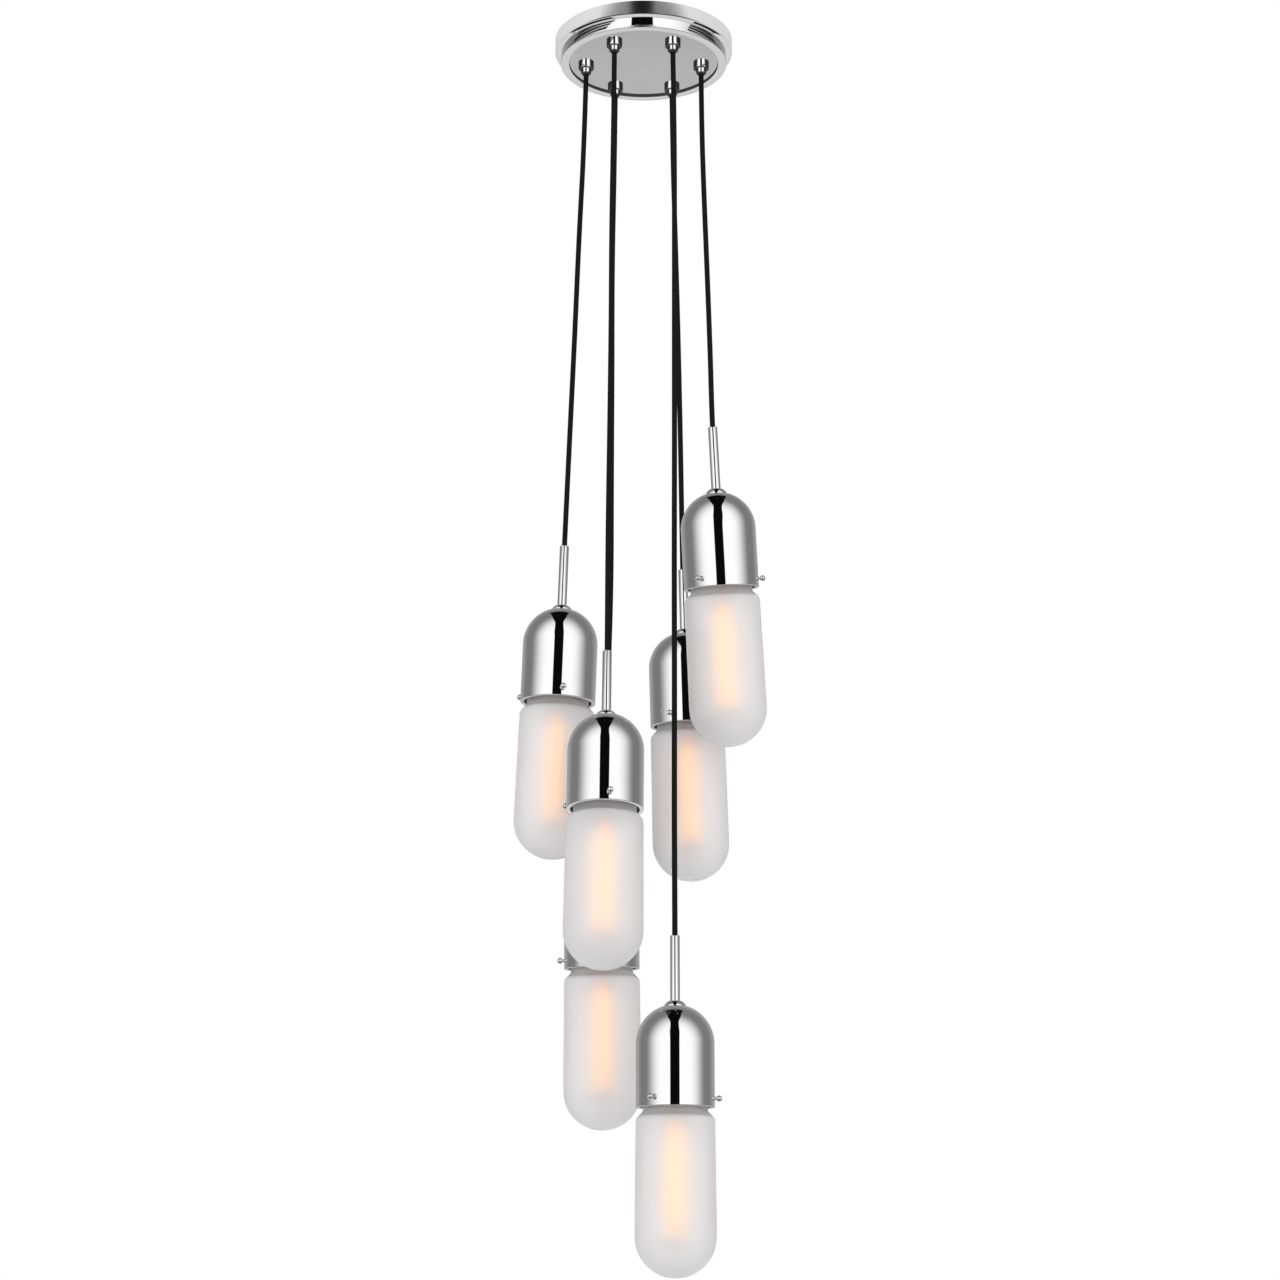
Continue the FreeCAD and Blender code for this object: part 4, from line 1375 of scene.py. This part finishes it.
@dataclass
class PendantLight:
    """One light: its metal parts, glass and lamp, built in its own frame."""

    shop: Workshop
    hanging: Hanging
    dome: Dome = field(default_factory=Dome)
    shade: Shade = field(default_factory=Shade)
    lamp: FilamentLamp = field(default_factory=FilamentLamp)

    def build(self) -> None:
        """Build and dress every piece of the light."""
        number = self.hanging.number
        pose = self.hanging.pose(self.dome.stem_top)
        self.build_body(number, pose)
        self.shop.redress(f"socket_{number}", Finish.CERAMIC)
        self.build_lamp(number, pose)

    def build_body(self, number: int, pose: Matrix) -> None:
        """Build and dress the bell, collar, stem, thumb screws and glass.

        Args:
            number: The light's number.
            pose: The light's own frame.
        """
        bell, capsule = self.dome.bell(), self.shade.capsule()
        # The bell's inside gets painted shade.
        finish_faces(bell, Finish.POLISHED, (Finish.INSIDE, self.dome.is_inside))
        # The glass's neck gets painted shade.
        finish_faces(capsule, Finish.FROSTED, (Finish.NECK, self.shade.is_neck))
        lift = Matrix.Translation((0.0, 0.0, self.dome.screw_height * MM))
        places = [lift @ place for place in round_places(3)]
        screws = copies(f"thumb_screws_{number}_set", self.dome.thumb_screw(), places)
        for name, mesh, finish, slot, node, mirrored in (
            ("polished_dome", bell, None, "polished_nickel", "dome", False),
            ("polished_collar", self.dome.collar(), Finish.POLISHED, "polished_nickel", "collar", True),
            ("polished_stem", self.dome.stem(), Finish.POLISHED, "polished_nickel", "stem", False),
            ("polished_thumb_screws", screws, Finish.POLISHED, "polished_nickel", "thumb_screws", True),
            ("glass_capsule", capsule, None, "frosted_glass", "shade", False),
        ):
            mesh.transform(pose)
            label, solid, body = f"{name}_{number}", f"{node}_{number}", f"light_{number}"
            self.shop.place(label, mesh, finish, body, slot, solid, mirrored=mirrored)

    def build_lamp(self, number: int, pose: Matrix) -> None:
        """Build and dress the lamp as objects in the light's own frame, which their glow is measured in.

        Args:
            number: The light's number.
            pose: The light's own frame.
        """
        for name, data, finish, node in (
            ("lamp_envelope", self.lamp.envelope(), Finish.ENVELOPE, f"lamp_{number}"),
            ("lamp_cap", self.lamp.cap(), Finish.BRASS_CAP, None),
            ("lamp_filaments", self.lamp.filaments(), Finish.FILAMENT, None),
            ("lamp_mount", self.lamp.mount(), Finish.ENVELOPE, None),
        ):
            self.shop.place(f"{name}_{number}", data, finish, f"bulb_{number}", "lamp_glass", node, pose)


@dataclass
class Studio:
    """The camera, the soft lights, the pale floor and the surroundings that the metal mirrors."""

    place: Place = (0.0, -3.060, -1.514)
    rise: float = 14.86
    swing: float = 0.077
    lens: float = 83.0
    sensor: float = 36.0
    aim: Place = (0.0, 0.0, -0.75)
    floor_height: float = -2.4
    floor_radius: float = 6.0
    backdrop: Colour = (0.97, 0.97, 0.975)
    mirrored_wall: Colour = (1.04, 1.04, 1.04)
    mirrored_gap: Colour = (0.003, 0.003, 0.003)
    slat_height: float = -0.0164
    slat_reach: float = 0.0940
    slat_spread: float = 0.0165
    slat_steps: int = 8

    def camera(self) -> None:
        """Set up the camera of the photograph."""
        data = bpy.data.cameras.new("photo_camera")
        data.lens = self.lens
        data.sensor_width = self.sensor
        data.clip_end = 50.0
        camera = add("photo_camera", data)
        camera.location = self.place
        camera.rotation_euler = (math.radians(90.0 + self.rise), 0.0, math.radians(self.swing))
        bpy.context.scene.camera = camera

    def surroundings(self) -> None:
        """White all round to look at, and for mirrors a soft white wall split by a dark gap in front."""
        world = bpy.data.worlds.new("studio")
        bpy.context.scene.world = world
        shader = Shader(world)
        x, y, z = shader.parts("Generated")
        low = z.fade(-0.15, -0.42)
        wall = y.fade(0.12, -0.80) * (1.0 - low)
        side = y.fade(0.40, 1.0) * 0.20 + 0.195
        below = y.fade(0.1, 0.75) * 0.50 + 0.17
        grey = (side * (1.0 - low) + below * low).mix((0.0, 0.0, 0.0), WHITE)
        pinch = z.fade(0.40, 0.90) * y.fade(-0.10, -0.50) * 0.06
        gap = (abs(x + 0.03) + pinch).fade(0.246, 0.224) * y.fade(0.44, 0.36) * z.fade(-0.45, -0.35)
        room = gap.mix(wall.mix(grey, self.mirrored_wall), self.mirrored_gap)
        rays = shader.node("LightPath").outputs
        names = "Is Glossy Ray", "Is Camera Ray", "Is Transmission Ray"
        glossy, camera, through = (Value(shader, rays[name]) for name in names)
        plain = (camera + through).at_most(1.0).mix(self.backdrop, WHITE)
        colour = (glossy * (1.0 - through)).mix(plain, room)
        shader.finish(shader.node("Background", color=colour, strength=1.0).outputs[0])

    def lights(self) -> None:
        """Two large soft lights that give the shapes a little side."""
        for name, place, power, size in (
            ("soft_light_left", (-1.6, -1.8, 0.2), 7.0, 1.6),
            ("soft_light_right", (1.9, -1.2, 0.0), 4.0, 1.4),
        ):
            data = bpy.data.lights.new(name, "AREA")
            data.energy = power
            data.size = size
            light = add(name, data)
            light.location = place
            way = Vector(self.aim) - light.location
            light.rotation_euler = way.to_track_quat("-Z", "Y").to_euler()
            light.visible_glossy = False

    def floor(self) -> None:
        """The pale floor, seen from above only, white to the eye but for the shadow on it."""
        work = bmesh.new()
        bmesh.ops.create_circle(work, cap_ends=True, radius=self.floor_radius, segments=96)
        bmesh.ops.translate(work, verts=work.verts, vec=(0.0, 0.0, self.floor_height))
        mesh = finished("studio_floor", work)
        made = bpy.data.materials.new("pale_floor")
        shader = Shader(made)
        paint = shader.body(base_color=(0.88, 0.88, 0.88), roughness=0.9)
        under = shader.node("NewGeometry").outputs["Backfacing"]
        shader.finish(shader.blend(under, paint, shader.node("BsdfTransparent").outputs[0]))
        mesh.materials.append(made)
        floor = add("studio_floor", mesh)
        floor.visible_glossy = False
        floor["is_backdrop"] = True

    def slats(self) -> None:
        """Black slats beside the ring's lower edge, seen by mirrors only, for the neck to mirror.

        Each group of three lies between two bearings in degrees beside the ring, and between two others
        further out. A slat fills a share of the way from the one pair to the other.
        """
        work = bmesh.new()
        for near, far in (((-140, -109), (-171, -122)), ((-55, -35), (-53, -7))):
            for shares in ((0.0, 0.30), (0.37, 0.62), (0.70, 1.0)):
                rails = []
                for share in shares:
                    first, last = (start + (end - start) * share for start, end in zip(near, far))
                    reach = self.slat_reach + self.slat_spread * share
                    parts = [step / self.slat_steps for step in range(self.slat_steps + 1)]
                    ways = [math.radians(first + (last - first) * part) for part in parts]
                    rails.append([work.verts.new(polar(reach, way, self.slat_height)) for way in ways])
                inner, outer = rails
                for step in range(self.slat_steps):
                    work.faces.new((inner[step], inner[step + 1], outer[step + 1], outer[step]))
        mesh = finished("studio_cards", work)
        mesh.materials.append(Finish.RUBBER.material())
        slats = add("studio_cards", mesh)
        for view in ("camera", "diffuse", "transmission", "shadow"):
            setattr(slats, f"visible_{view}", False)
        slats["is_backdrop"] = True

    def build(self) -> None:
        """Set the whole studio up."""
        self.camera()
        self.surroundings()
        self.lights()
        self.floor()
        self.slats()
        bpy.context.scene.view_settings.view_transform = "Standard"
        LOG.info("studio ready")


# Each light's number, its grip's bearing, the top of its stem, its lean to the side and to the front,
# its turn about its stem, and its cord's route.
HANGINGS = (
    Hanging(1, 0.0, (0.0737, -0.0630, -0.4829), -3.03, -9.82, 115.0, (
        (0.0650, -0.0106, -0.1100), (0.0670, -0.0254, -0.2050),
        (0.0697, -0.0410, -0.3050), (0.0720, -0.0552, -0.4000),
    )),
    Hanging(2, 180.0, (-0.0858, -0.0004, -0.5972), 2.0, -0.3, 39.0, (
        (-0.0668, 0.0005, -0.1250), (-0.0719, 0.0004, -0.2350),
        (-0.0761, -0.0003, -0.3550), (-0.0806, -0.0001, -0.4650),
    )),
    Hanging(3, 240.0, (-0.0386, -0.0495, -0.7274), 0.57, 5.14, 38.0, (
        (-0.0331, -0.0558, -0.1300), (-0.0350, -0.0546, -0.2400), (-0.0353, -0.0536, -0.3600),
        (-0.0365, -0.0517, -0.4800), (-0.0381, -0.0511, -0.6000),
    )),
    Hanging(4, 60.0, (0.0427, 0.0489, -0.6095), -1.5, -3.2, 4.0, (
        (0.0333, 0.0560, -0.1200), (0.0358, 0.0539, -0.2150),
        (0.0385, 0.0526, -0.3300), (0.0407, 0.0509, -0.4550),
    )),
    Hanging(5, 120.0, (-0.0458, 0.0415, -0.8748), -0.4, -4.0, 65.0, (
        (-0.0334, 0.0556, -0.1300), (-0.0356, 0.0526, -0.2500), (-0.0354, 0.0512, -0.3800),
        (-0.0358, 0.0484, -0.5100), (-0.0357, 0.0469, -0.6300), (-0.0394, 0.0440, -0.7500),
    )),
    Hanging(6, 300.0, (0.0317, -0.0621, -1.0315), 0.0, -1.9, 115.0, (
        (0.0338, -0.0569, -0.1300), (0.0337, -0.0574, -0.2500), (0.0332, -0.0588, -0.3800),
        (0.0329, -0.0590, -0.5100), (0.0322, -0.0605, -0.6400), (0.0321, -0.0607, -0.7700),
        (0.0315, -0.0623, -0.9000),
    )),
)


def write_sizes() -> None:
    boxes = {"cad": solid_box, "visual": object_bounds()}
    plain = {name: [list(corner) for corner in box] for name, box in boxes.items()}
    LOG.info("sizes written")


def main() -> None:
    """Build the studio, the cords, the canopy and the lights, in that order."""
    Studio().build()
    shop = Workshop()
    for hanging in HANGINGS:
        LampCord(shop, hanging).build()
    Canopy(shop).build()
    for hanging in HANGINGS:
        PendantLight(shop, hanging).build()
    write_sizes()
    LOG.info("%d pieces made", shop.made)


if __name__ == "__main__":
    main()
